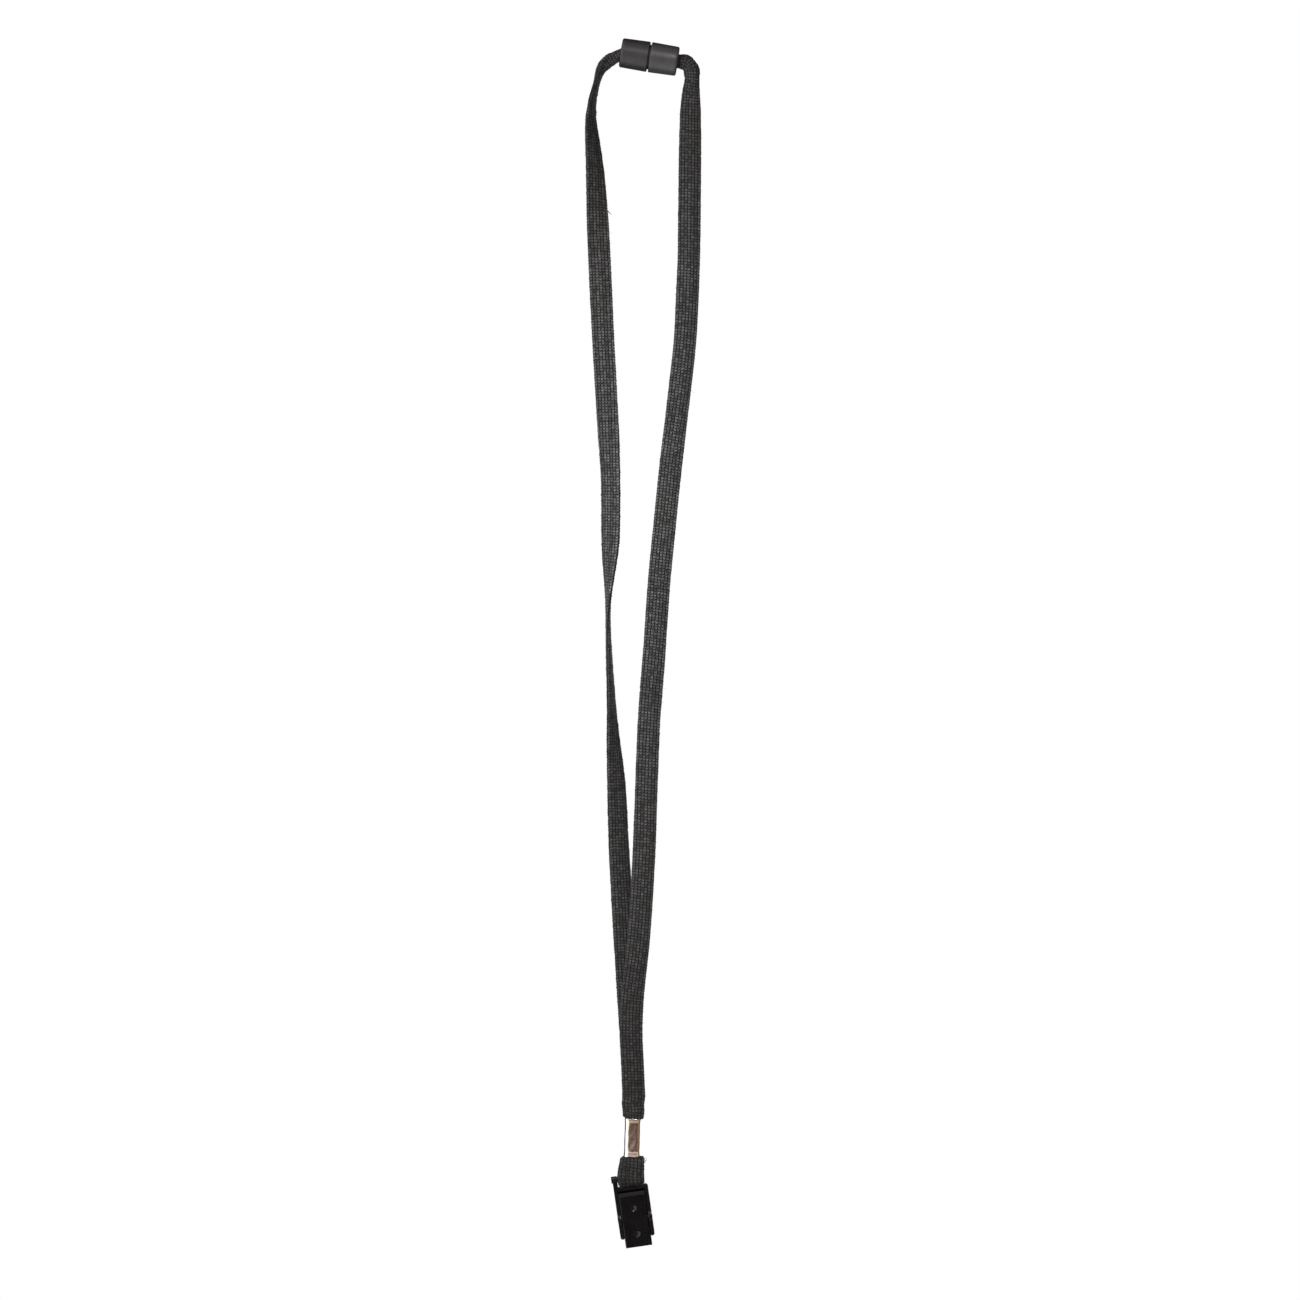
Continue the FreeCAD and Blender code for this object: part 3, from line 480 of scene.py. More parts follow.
def knitted_strap(name, rows, first_course=0.0):
    """A flattened knitted tube along a path, and its length in stitches."""
    rows = resample(rows, STITCH_LENGTH / POINTS_PER_STITCH)
    rings = len(rows)
    around = COLUMNS * POINTS_PER_COLUMN
    centre = rows[:, CENTRE]
    along = unit(np.gradient(centre, axis=0))
    across = rows[:, ACROSS]
    across = unit(across - along * (across * along).sum(axis=1, keepdims=True))
    face = np.cross(along, across)
    travelled = lengths_along(centre)
    column = np.arange(around) / POINTS_PER_COLUMN
    course = first_course + travelled[:, None] / STITCH_LENGTH + column[None] / COLUMNS
    drift = sum(size * np.sin(travelled / wave) for size, wave in COLUMN_DRIFT)
    tilted = column[None] + drift[:, None]

    last_course = int(course.max()) + 2
    unevenness = 1 + STITCH_UNEVENNESS * RANDOM.standard_normal((COLUMNS, last_course))
    jitter = STITCH_JITTER * RANDOM.standard_normal((COLUMNS, last_course))
    which = np.floor(tilted).astype(int) % COLUMNS
    number = np.clip(np.floor(course).astype(int), 0, last_course - 1)
    amount = unevenness[which, number]
    shifted = course + jitter[which, number] * np.sin(math.pi * (course % 1.0))

    points = np.empty((rings, around, 3))
    relief = np.empty((rings, around))
    for i in range(rings):
        wide, deep = rows[i, WIDE], rows[i, DEEP]
        flat, outward = section_points(wide - YARN_RELIEF / 2, deep - YARN_RELIEF / 2, around)
        width_now = 2 * (wide + 0.6 * deep) * 2 / COLUMNS
        relief[i] = stitch_height(tilted[i], shifted[i], width_now)
        moved = flat + outward * (relief[i] * amount[i] * YARN_RELIEF)[:, None]
        points[i] = centre[i] + moved[:, :1] * across[i] + moved[:, 1:] * face[i]
    surface = points.reshape(-1, 3)
    hair_count = int(travelled[-1] * HAIRS_PER_MM)
    margin = int(rings * BARE_END)
    ring = RANDOM.integers(margin, rings - margin, hair_count)
    spot = RANDOM.integers(0, around, hair_count)
    roots = points[ring, spot]
    hair_points, hair_quads = hairs(roots, unit(roots - centre[ring]))
    vertices = np.concatenate((surface, centre[[0, -1]], hair_points))
    hair_quads += len(surface) + 2
    quads, fans = tube_polygons(rings, around)
    u = np.arange(around + 1) / POINTS_PER_COLUMN
    v = first_course + travelled / STITCH_LENGTH
    grid = np.empty((rings - 1, around, 4, 2))
    grid[..., 0, 0] = grid[..., 3, 0] = u[None, :-1]
    grid[..., 1, 0] = grid[..., 2, 0] = u[None, 1:]
    grid[..., 0, 1] = grid[..., 1, 1] = v[:-1, None]
    grid[..., 2, 1] = grid[..., 3, 1] = v[1:, None]
    uvs = np.concatenate((grid.reshape(-1, 2), np.zeros((fans.size + hair_quads.size, 2))))
    hair_relief = np.full(len(hair_points), HAIR_RELIEF)
    # The relief values also carry the braid's painted light: high values get the painted crown
    # highlight, low ones the painted groove shade.
    values = {"relief": np.concatenate((relief.ravel(), (0, 0), hair_relief))}
    piece = mesh_piece(name, vertices, (quads, fans, hair_quads), uvs, values)
    return piece, travelled[-1] / STITCH_LENGTH


# ---------------------------------------------------------------- the strap's way
CRIMP_LOW, CRIMP_HIGH = node_box("crimp_ferrule")
CRIMP_MIDDLE = (CRIMP_LOW + CRIMP_HIGH) / 2
CRIMP_FRONT = CRIMP_MIDDLE - (0, 0.8, 0)


def gathered(rows, rim, outward, widths):
    """Pull a strap together sharply where it goes into the crimp's mouth."""
    beyond = outward * (rows[:, 2] - rim)
    near = (beyond > -INSIDE_LENGTH) & (beyond < widths[0][-1])
    share = ease((beyond[near] + OVERHANG) / GATHER_LENGTH)
    full = np.interp(beyond[near], *widths)
    rows[near, WIDE] = WIDTH_INSIDE + (full - WIDTH_INSIDE) * share
    rows[near, DEEP] = DEPTH_INSIDE + (HALF_THICKNESS - DEPTH_INSIDE) * share
    return rows


def left_path():
    """From inside the crimp, up the left leg, into its half of the connector."""
    planes = leg_planes("strap_left_leg", "socket_shell", -1, LEFT_BEND_DROP)
    rows = measure("strap_left_leg", planes, CRIMP_MIDDLE)
    rows = eased_path(even_width(rows, CRIMP_HIGH[2] + TURN_MARGIN, LEFT_TURN_TOP))
    return gathered(rows, CRIMP_HIGH[2], 1, WIDTH_ABOVE)


def right_path():
    """From the middle of the crimp, out of its top in front, and up the right leg."""
    _, loop_high = node_box("strap_clip_loop")
    stub = level_planes(CRIMP_MIDDLE[2] + 1, loop_high[2] - 0.5, FINE_STEP)
    rows = measure("strap_clip_loop", stub, CRIMP_FRONT)
    planes = leg_planes("strap_right_leg", "plug_shell", 1, RIGHT_BEND_DROP)
    rows = np.concatenate((rows, measure("strap_right_leg", planes, rows[-1, CENTRE])))
    rows = eased_path(even_width(rows, CRIMP_HIGH[2] + TURN_MARGIN, RIGHT_TURN_TOP))
    return gathered(rows, CRIMP_HIGH[2], 1, WIDTH_ABOVE)


def loop_path():
    """From the middle of the crimp, down in front, round the crossbar and up behind."""
    bar_top = CLIP.origin[2] + BAR_MARGIN
    crimp_inside = CRIMP_MIDDLE[2] - 1
    down = measure("strap_clip_loop", level_planes(crimp_inside, bar_top, -FINE_STEP), CRIMP_FRONT)
    turn = measure("strap_clip_loop", bar_planes(), down[-1, CENTRE])
    rise = level_planes(bar_top, crimp_inside, FINE_STEP)
    up = measure("strap_clip_loop", rise, turn[-1, CENTRE])
    rows = smooth(resample(np.concatenate((down, turn, up)), PATH_STEP), 0.6)
    place = CLIP.inside(rows[:, CENTRE])
    from_bar = np.hypot(place[:, 1], place[:, 2])
    under = place[:, 2] < 0
    place[under, 1:] *= (BAR_TURN / from_bar[under])[:, None]
    rows[:, CENTRE] = CLIP.outside(place)
    rows[under, DEEP] = HALF_THICKNESS
    return gathered(rows, CRIMP_LOW[2], -1, WIDTH_BELOW)


def fibre(spine, radius):
    """Points and quads of one tapering yarn end along a curved spine."""
    sides = 6
    along = unit(np.gradient(spine, axis=0))
    side = unit(np.cross(along, (0.2, 1.0, 0.1)))
    other = np.cross(along, side)
    angle = (np.arange(sides) * 2 * math.pi / sides)[:, None]
    thickness = (radius * np.linspace(1, LOOSE_TAPER, len(spine)))[:, None, None]
    around = side[:, None] * np.cos(angle) + other[:, None] * np.sin(angle)
    points = spine[:, None] + thickness * around
    points = np.concatenate((points.reshape(-1, 3), spine[[0, -1]]))
    return points, tube_polygons(len(spine), sides)


def yarn_ends(name, ends):
    """Loose yarn ends in one piece: each is a start, a direction, a sideways curl and a radius."""
    share = np.linspace(0, 1, 7)[:, None]
    points, quads, fans, offset = [], [], [], 0
    for start, direction, curl, radius in ends:
        spine = start + share * direction + share ** 2 * curl
        end_points, (end_quads, end_fans) = fibre(spine, radius)
        points.append(end_points)
        quads.append(end_quads + offset)
        fans.append(end_fans + offset)
        offset += len(end_points)
    points = np.concatenate(points)
    values = {"relief": np.full(len(points), LOOSE_RELIEF)}
    quads, fans = np.concatenate(quads), np.concatenate(fans)
    uvs = np.zeros((quads.size + fans.size, 2))
    return mesh_piece(name, points, (quads, fans), uvs, values)


def edge_point(rows, height, direction):
    """Where a strap's edge is at a height, on the side that a direction points to."""
    row = rows[np.argmin(np.abs(rows[:, 2] - height))]
    across = row[ACROSS] * math.copysign(1, row[ACROSS] @ direction)
    return row[CENTRE] + across * (row[WIDE] - EDGE_INSET)


def halves(rows):
    """A long path in two lengths that share their middle row."""
    rows = resample(rows, STITCH_LENGTH / POINTS_PER_STITCH)
    middle = len(rows) // 2 // POINTS_PER_STITCH * POINTS_PER_STITCH
    return rows[:middle + 1], rows[middle:]


# ---------------------------------------------------------------- turned and pressed parts
def rounded_outline(corners, steps=6, spacing=0.35):
    """Closed outline through corners given as (x, y, rounding), with closely spaced points."""
    spots = np.array([corner[:2] for corner in corners])
    points = []
    for i, (_, _, rounding) in enumerate(corners):
        here = spots[i]
        before = unit(spots[i - 1] - here)
        after = unit(spots[(i + 1) % len(corners)] - here)
        half_angle = math.acos(np.clip(before @ after, -1, 1)) / 2
        reach = rounding / math.tan(half_angle)
        start, end = here + before * reach, here + after * reach
        for t in np.linspace(0, 1, steps + 1):
            points.append((1 - t) ** 2 * start + 2 * t * (1 - t) * here + t ** 2 * end)
    outline = []
    for i, point in enumerate(points):
        following = points[(i + 1) % len(points)]
        count = max(int(np.linalg.norm(following - point) / spacing), 1)
        outline += [point + (following - point) * k / count for k in range(count)]
    return np.array(outline)


def hoop_quads(rings, around):
    """Quads between closed rings of points, with the last ring joined to the first."""
    ring = np.arange(rings)[:, None] * around
    following = np.roll(ring, -1, axis=0)
    here = np.arange(around)[None]
    turned = (here + 1) % around
    quads = np.stack((ring + here, ring + turned, following + turned, following + here), -1)
    return quads.reshape(-1, 4)


def lathe(name, outline, place, around):
    """Turn a closed outline of (along, radius) points about a place's first axis."""
    angle = np.arange(around) / around * 2 * math.pi
    along = np.repeat(outline[:, :1], around, axis=1)
    radius = outline[:, 1:]
    points = np.stack((along, radius * np.cos(angle), radius * np.sin(angle)), axis=-1)
    quads = hoop_quads(len(outline), around)
    return mesh_piece(name, place.outside(points.reshape(-1, 3)), (quads,))


def connector_half(name, node, side):
    """One half of the barrel, turned to the sizes its CAD shell has, with soft corners."""
    points = CONNECTOR.inside(node_points(node))
    along = side * points[:, 0]
    radius = np.hypot(points[:, 1], points[:, 2])
    seam, end = along.min(), along.max()
    at_seam = radius[along < seam + 0.02]
    hole = radius[along > end - 0.6].min()
    bore = at_seam.min()
    near_end = radius[(along > end - 1.5) & (radius > hole + 1)]
    floor_of_bore = along[radius < hole + 0.4].min()
    outer, tail = radius.max(), near_end.max()
    corners = [
        (seam, bore, 0.2), (seam, outer, 0.5), (end, tail, 1.0),
        (end, hole, 0.45), (floor_of_bore, hole, 0.3), (floor_of_bore, bore, 0.3),
    ]
    outline = rounded_outline(corners)
    outline[:, 0] *= side
    if side > 0:
        outline = outline[::-1]
    return lathe(name, outline, CONNECTOR, 160)


def squared_ring(wide, deep, corner, count):
    """Evenly spaced points round a rectangle with rounded corners, starting behind it."""
    turns = ((1, 1), (1, -1), (-1, -1), (-1, 1))
    outline = rounded_outline([(x * wide, y * deep, corner) for x, y in turns], 12, 0.1)
    start = int(np.argmin(np.hypot(outline[:, 0], outline[:, 1] - deep)))
    outline = np.roll(outline, -start, axis=0)
    closed = np.concatenate((outline, outline[:1]))
    travelled = lengths_along(closed)
    wanted = np.arange(count) / count * travelled[-1]
    return np.stack([np.interp(wanted, travelled, closed[:, i]) for i in (0, 1)], axis=1)


def middle_of(points):
    """Middle of the box round some points."""
    return (points.min(axis=0) + points.max(axis=0)) / 2


def crimp_sleeve():
    """The pressed metal sleeve: round corners, flared and rolled mouths, a seam behind."""
    points = node_points("crimp_ferrule")
    top = middle_of(points[points[:, 2] > CRIMP_HIGH[2] - 0.4])
    foot = middle_of(points[points[:, 2] < CRIMP_LOW[2] + 0.4])
    run = top - foot
    place = Place((top + foot) / 2, (run[2], 0, -run[0]))
    sizes = np.abs(place.inside(points))
    reach = sizes[:, 2].max()
    mouth = sizes[sizes[:, 2] > reach - 0.3].max(axis=0)
    waist = sizes[sizes[:, 2] < reach - MOUTH_LENGTH + 0.1].max(axis=0)
    lip = CRIMP_WALL * 0.48
    wall = rounded_outline([(-reach, 0, lip), (reach, 0, lip), (reach, -CRIMP_WALL, lip),
                            (-reach, -CRIMP_WALL, lip)])
    count = 200
    phases = RANDOM.uniform(0, 2 * math.pi, len(CRIMP_DENTS))
    rings = []
    for height, outward in wall:
        flare = ease((abs(height) - reach + MOUTH_LENGTH) / MOUTH_LENGTH)
        half = waist + (mouth - waist) * flare + outward
        ring = squared_ring(half[0], half[1], CRIMP_CORNER + outward, count)
        share = np.arange(count) / count
        from_seam = np.minimum(share, 1 - share) * 2 * (half[0] + half[1]) * 2
        outward_now = unit(ring / half[:2])
        dent = sum(size * np.sin(height / wave + phase + turns * math.pi * share)
                   for (size, wave, turns), phase in zip(CRIMP_DENTS, phases))
        dent += CRIMP_WALL * 0.9 * np.exp(-(from_seam / SEAM_WIDTH) ** 2)
        ring = ring - outward_now * dent[:, None]
        rings.append(np.column_stack((ring, np.full(count, height))))
    quads = hoop_quads(len(rings), count)[:, ::-1]
    return mesh_piece("crimp", place.outside(np.concatenate(rings)), (quads,))


def softened(name, node, rounding, corner=0.0, is_corner=None):
    """A copy of a CAD node whose edges are rounded over, as moulded or cut parts have them."""
    work = bmesh.new()
    work.from_mesh(frame["nodes"][node].data)
    bmesh.ops.remove_doubles(work, verts=work.verts, dist=1e-7)
    bmesh.ops.dissolve_limit(work, angle_limit=FLAT_ANGLE, verts=work.verts, edges=work.edges)
    bmesh.ops.remove_doubles(work, verts=work.verts, dist=2e-6)
    if corner:
        corners = [edge for edge in work.edges if is_corner(edge)]
        bmesh.ops.bevel(work, geom=corners, offset=corner * MM, segments=5, profile=0.5,
                        affect="EDGES", clamp_overlap=False)
    mesh = bpy.data.meshes.new(name)
    work.to_mesh(mesh)
    work.free()
    mesh.shade_smooth()
    piece = bpy.data.objects.new(name, mesh)
    bpy.context.scene.collection.objects.link(piece)
    bevel = piece.modifiers.new("edges", "BEVEL")
    bevel.width = rounding * MM
    bevel.segments = 3
    bevel.limit_method = "ANGLE"
    bevel.angle_limit = EDGE_ANGLE
    bevel.miter_outer = "MITER_ARC"
    normals = piece.modifiers.new("normals", "WEIGHTED_NORMAL")
    normals.keep_sharp = True
    return piece


# ---------------------------------------------------------------- materials
class Paint:
    """One material's node tree, built node by node."""

    def __init__(self, name, tree=None):
        self.tree = tree
        if tree is None:
            self.material = bpy.data.materials.new(name)
            self.material.use_nodes = True
            self.tree = self.material.node_tree
            self.shader = self.tree.nodes["Principled BSDF"]

    def feed(self, socket, value):
        if isinstance(value, bpy.types.NodeSocket):
            self.tree.links.new(value, socket)
        else:
            socket.default_value = value

    def add(self, kind, inputs, output=0, **settings):
        node = self.tree.nodes.new(kind)
        for key, value in settings.items():
            setattr(node, key, value)
        for key, value in inputs.items():
            self.feed(node.inputs[key], value)
        return node.outputs[output]

    def math(self, operation, first, second=0.0, third=0.0):
        return self.add("ShaderNodeMath", {0: first, 1: second, 2: third}, operation=operation)

    def noise(self, place, scale, detail=3.0, roughness=0.55):
        inputs = {"Vector": place, "Scale": scale, "Detail": detail, "Roughness": roughness}
        return self.add("ShaderNodeTexNoise", inputs)

    def ramp(self, value, stops, interpolation="LINEAR"):
        """Map a number to another number or colour through (position, colour or grey) stops."""
        node = self.tree.nodes.new("ShaderNodeValToRGB")
        node.color_ramp.interpolation = interpolation
        marks = node.color_ramp.elements
        while len(marks) < len(stops):
            marks.new(1.0)
        for mark, (position, shade) in zip(marks, stops):
            mark.position = position
            mark.color = (*shade, 1) if isinstance(shade, tuple) else (shade, shade, shade, 1)
        self.feed(node.inputs["Fac"], value)
        return node.outputs["Color"]

    def mix(self, share, first, second, blend_type="MIX"):
        node = self.tree.nodes.new("ShaderNodeMix")
        node.data_type = "RGBA"
        node.blend_type = blend_type
        for socket, value in ((0, share), (6, first), (7, second)):
            if isinstance(value, tuple):
                value = (*value, 1.0)
            self.feed(node.inputs[socket], value)
        return node.outputs[2]

    def bump(self, height, distance, strength=1.0, below=None):
        inputs = {"Height": height, "Distance": distance * MM, "Strength": strength}
        if below is not None:
            inputs["Normal"] = below
        return self.add("ShaderNodeBump", inputs)

    def object_place(self):
        return self.add("ShaderNodeTexCoord", {}, "Object")

    def scaled(self, place, x, y, z):
        return self.add("ShaderNodeMapping", {"Vector": place, "Scale": (x, y, z)})

    def parts(self, vector, output):
        return self.add("ShaderNodeSeparateXYZ", {"Vector": vector}, output)

    def set(self, **inputs):
        for title, value in inputs.items():
            self.feed(self.shader.inputs[title.replace("_", " ")], value)
        return self.material


def braid_material():
    """Black polyester yarn with sheen; its colour carries painted light: a painted highlight on the
    stitches' crowns and painted shade in the grooves between them.
    """
    paint = Paint("braid")
    place = paint.object_place()
    relief = paint.add("ShaderNodeAttribute", {}, "Fac", attribute_name="relief")
    weave = paint.add("ShaderNodeUVMap", {}, uv_map="weave")
    column = paint.math("FLOOR", paint.parts(weave, "X"))
    course = paint.math("FLOOR", paint.parts(weave, "Y"))
    stitch = paint.add("ShaderNodeCombineXYZ", {"X": column, "Y": course})
    per_stitch = paint.add("ShaderNodeTexWhiteNoise", {"Vector": stitch}, "Value")
    per_column = paint.add("ShaderNodeTexWhiteNoise", {"W": column}, "Value", noise_dimensions="1D")
    fibres = paint.noise(paint.scaled(weave, 14.0, 5.0, 1.0), 2.0, 4.0, 0.7)
    specks = paint.noise(place, 900.0, 3.0)
    broad = paint.noise(place, 9.0, 2.0)
    # Painted light: this ramp over the relief paints the stitches' crowns light as a painted
    # highlight and the grooves dark as painted shade.
    shade = paint.ramp(relief, [(0.0, (0.001, 0.001, 0.001)), (0.45, (0.004, 0.004, 0.004)),
                                (0.68, (0.045, 0.0445, 0.045)), (0.85, (0.16, 0.159, 0.161)),
                                (1.0, (0.30, 0.298, 0.302))])
    shade = paint.mix(1.0, shade, paint.ramp(per_stitch, [(0.0, 0.34), (1.0, 1.0)]), "MULTIPLY")
    shade = paint.mix(1.0, shade, paint.ramp(per_column, [(0.0, 0.6), (1.0, 1.0)]), "MULTIPLY")
    shade = paint.mix(1.0, shade, paint.ramp(fibres, [(0.25, 0.72), (0.75, 1.0)]), "MULTIPLY")
    tint = paint.ramp(broad, [(0.3, (0.86, 0.86, 0.88)), (0.7, (1.0, 0.99, 0.97))])
    shade = paint.mix(1.0, shade, tint, "MULTIPLY")
    lint = paint.ramp(specks, [(0.68, 0.0), (0.8, 1.0)])
    shade = paint.mix(lint, shade, (0.075, 0.072, 0.07))
    normal = paint.bump(fibres, 0.05, 0.8)
    return paint.set(Base_Color=shade, Roughness=paint.ramp(fibres, [(0.2, 0.62), (0.8, 0.88)]),
                     Sheen_Weight=0.12, Sheen_Roughness=0.45, Sheen_Tint=(0.85, 0.87, 0.9, 1.0),
                     Specular_IOR_Level=0.35, Normal=normal)


def barrel_material(name, shade_low, shade_high, gloss):
    """Matt moulded plastic with the fine rings of a turned mould and faint scuffs."""
    paint = Paint(name)
    place = paint.object_place()
    turn = paint.add("ShaderNodeMapping", {"Vector": place, "Rotation": (0, CONNECTOR_TILT, 0)})
    rings = paint.noise(paint.scaled(turn, 1.0, 0.0, 0.0), 2600.0, 2.0, 0.6)
    broad_rings = paint.noise(paint.scaled(turn, 1.0, 0.0, 0.0), 700.0, 1.0)
    grain = paint.noise(place, 5200.0, 2.0)
    cloud = paint.noise(place, 160.0, 3.0)
    scuffs = paint.noise(paint.scaled(place, 1.0, 1.0, 0.25), 900.0, 6.0, 0.7)
    shade = paint.ramp(cloud, [(0.3, shade_low), (0.7, shade_high)])
    shade = paint.mix(1.0, shade, paint.ramp(rings, [(0.35, 0.72), (0.65, 1.0)]), "MULTIPLY")
    shade = paint.mix(paint.ramp(scuffs, [(0.66, 0.0), (0.76, 0.5)]), shade, (0.11, 0.105, 0.105))
    rough = paint.ramp(paint.noise(place, 420.0, 3.0), [(0.3, gloss), (0.7, gloss + 0.12)])
    normal = paint.bump(rings, 0.03, 0.5)
    normal = paint.bump(broad_rings, 0.08, 0.35, normal)
    normal = paint.bump(grain, 0.012, 0.5, normal)
    return paint.set(Base_Color=shade, Roughness=rough, Specular_IOR_Level=0.6, Normal=normal)


def insert_material():
    """The darker plastic inside the barrel."""
    paint = Paint("insert")
    place = paint.object_place()
    cloud = paint.noise(place, 500.0)
    shade = paint.ramp(cloud, [(0.3, (0.012, 0.012, 0.013)), (0.7, (0.02, 0.019, 0.02))])
    normal = paint.bump(paint.noise(place, 3500.0), 0.02, 0.5)
    return paint.set(Base_Color=shade, Roughness=0.5, Normal=normal)


def crimp_material():
    """Bright plated metal with soft stains, fine lengthwise drawing marks and a few scratches."""
    paint = Paint("plated")
    place = paint.object_place()
    drawn = paint.noise(paint.scaled(place, 1.0, 1.0, 0.03), 5200.0, 3.0, 0.6)
    stain = paint.noise(place, 330.0, 4.0, 0.6)
    scratch = paint.noise(paint.scaled(place, 1.0, 1.0, 0.2), 2400.0, 5.0, 0.75)
    shade = paint.ramp(stain, [(0.3, (0.80, 0.73, 0.66)), (0.7, (0.93, 0.89, 0.85))])
    rough = paint.ramp(stain, [(0.25, 0.16), (0.75, 0.25)])
    rough = paint.mix(paint.ramp(scratch, [(0.64, 0.0), (0.72, 1.0)]), rough, (0.4, 0.4, 0.4))
    normal = paint.bump(drawn, 0.012, 0.4)
    normal = paint.bump(stain, 0.03, 0.2, normal)
    return paint.set(Base_Color=shade, Metallic=1.0, Roughness=rough, Normal=normal)


def clip_material():
    """Deep black glossy plastic with moulding waviness, handling marks and dust in places."""
    paint = Paint("clip")
    place = paint.object_place()
    haze = paint.noise(place, 260.0, 4.0)
    marks = paint.noise(paint.scaled(place, 1.0, 1.0, 0.3), 1500.0, 6.0, 0.7)
    shade = paint.ramp(haze, [(0.3, (0.0038, 0.0048, 0.0062)), (0.7, (0.0048, 0.0058, 0.0072))])
    rough = paint.ramp(haze, [(0.3, 0.19), (0.7, 0.25)])
    rough = paint.mix(paint.ramp(marks, [(0.68, 0.0), (0.8, 0.5)]), rough, (0.4, 0.4, 0.4))
    normal = paint.bump(paint.noise(place, 240.0, 1.0), 0.03, 0.3)
    normal = paint.bump(marks, 0.002, 0.2, normal)
    return paint.set(Base_Color=shade, Roughness=rough, Specular_IOR_Level=0.34, Normal=normal)


def steel_material(name, shade_low, shade_high, roughness):
    """Brushed spring or pin steel with a little tarnish."""
    paint = Paint(name)
    place = paint.object_place()
    tarnish = paint.noise(place, 700.0, 4.0)
    brushed = paint.noise(paint.scaled(place, 0.06, 1.0, 1.0), 7000.0, 3.0)
    shade = paint.ramp(tarnish, [(0.3, (shade_low,) * 3), (0.7, (shade_high,) * 3)])
    rough = paint.ramp(tarnish, [(0.3, roughness), (0.7, roughness + 0.15)])
    normal = paint.bump(brushed, 0.008, 0.5)
    return paint.set(Base_Color=shade, Metallic=1.0, Roughness=rough, Normal=normal)


def dress(piece, material):
    """Give a piece its material."""
    piece.data.materials.clear()
    piece.data.materials.append(material)
    return piece


# ---------------------------------------------------------------- the object
BRAID = braid_material()
# The two halves are one plastic. The right half's lighter colours are painted light that stands in
# for the brighter highlight band it shows, so the two materials are a lit and a plain copy.
LEFT_BARREL = barrel_material("barrel_left", (0.030, 0.0285, 0.0320), (0.039, 0.0372, 0.0415), 0.40)
RIGHT_BARREL_PAINTED_LIGHTER = barrel_material("barrel_right", (0.066, 0.0636, 0.071), (0.086, 0.083, 0.0925), 0.34)
INSERT = insert_material()
CLIP_PLASTIC = clip_material()


def build_straps():
    """The strap: two lengths up each side, and the short loop through the clip."""
    right = np.array((1.0, 0.0, 0.0))
    left = left_path()
    loop = loop_path()
    for side, path in (("left", left), ("right", right_path())):
        course = 0.0
        for part, rows in zip(("lower", "upper"), halves(path)):
            piece, length = knitted_strap(f"strap_{side}_{part}", rows, course)
            course += length
            dress(piece, BRAID)
            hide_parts(f"strap_{side}_leg")
            if side == "right":
                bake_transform(piece)
            else:
                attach(piece, "root")
    piece, _ = knitted_strap("strap_loop", loop)
    dress(piece, BRAID)
    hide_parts("strap_clip_loop")
    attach(piece, "root")

    snag = edge_point(left, SNAG_HEIGHT, right)
    ends = [(snag, np.array(SNAG_RUN), np.array(SNAG_CURL), SNAG_RADIUS)]
    fray = edge_point(loop[:len(loop) // 2], CRIMP_LOW[2] - FRAY_DROP, right)
    for _ in range(FRAY_ENDS):
        direction = FRAY_RUN + FRAY_RANDOM.normal(0, FRAY_SPREAD, 3)
        start = fray + FRAY_RANDOM.normal(0, FRAY_SPREAD, 3)
        ends.append((start, direction, FRAY_RANDOM.normal(0, FRAY_CURL, 3), FRAY_RADIUS))
    piece = dress(yarn_ends("yarn_ends", ends), BRAID)
    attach(piece, "root")


def build_connector():
    """The barrel's two halves and what shows of their insides through the seam."""
    shells = (("barrel_left", "socket_shell", -1, "root", LEFT_BARREL),
              ("barrel_right", "plug_shell", 1, "plug_half", RIGHT_BARREL_PAINTED_LIGHTER))
    for name, node, side, body, material in shells:
        piece = connector_half(name, node, side)
        dress(piece, material)
        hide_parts(node)
        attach(piece, body)
    inserts = (("catch_ring", "socket_insert", "root"), ("split_stem", "plug_insert", "plug_half"))
    for name, node, body in inserts:
        piece = softened(name, node, 0.12)
        dress(piece, INSERT)
        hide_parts(node)
        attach(piece, body)


def build_crimp():
    """The bright metal sleeve that holds the strap together."""
    piece = dress(crimp_sleeve(), crimp_material())
    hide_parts("crimp_ferrule")
    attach(piece, "root")


def is_outline_corner(edge):
    """Test for a sharp edge that runs front to back at a lower corner of the clip's outline."""
    ends = CLIP.inside([np.array(vertex.co) / MM for vertex in edge.verts])
    run = np.ptp(ends, axis=0)
    runs_back = run[1] > 0.6 and max(run[0], run[2]) < 0.1
    if not runs_back or len(edge.link_faces) != 2:
        return False
    across, up = np.abs(ends[:, 0]).mean(), ends[:, 2].mean()
    outer = any(across > limit and up < level for limit, level in (CLIP_SHOULDER, CLIP_FOOT))
    return outer and edge.calc_face_angle(0) > math.radians(60)


def build_clip():
    """Base, lever, pin and the leaf spring that presses them apart."""
    for name, node, rounding, body in (("clip_base_soft", "clip_base", 0.28, "clip"),
                                       ("clip_lever_soft", "clip_lever", 0.25, "lever")):
        piece = softened(name, node, rounding, CLIP_CORNER, is_outline_corner)
        dress(piece, CLIP_PLASTIC)
        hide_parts(node)
        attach(piece, body)
    piece = softened("clip_pin", "hinge_pin", 0.12)
    dress(piece, steel_material("pin_steel", 0.30, 0.48, 0.22))
    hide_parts("hinge_pin")
    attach(piece, "clip")
    piece = softened("leaf_spring", "jaw_spring", 0.05)
    dress(piece, steel_material("spring_steel", 0.35, 0.5, 0.28))
    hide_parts("jaw_spring")
    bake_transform(piece)


# ---------------------------------------------------------------- light, floor and camera
WHITE = (1.0, 1.0, 1.0)
AMBIENT = (0.046, 0.046, 0.048)

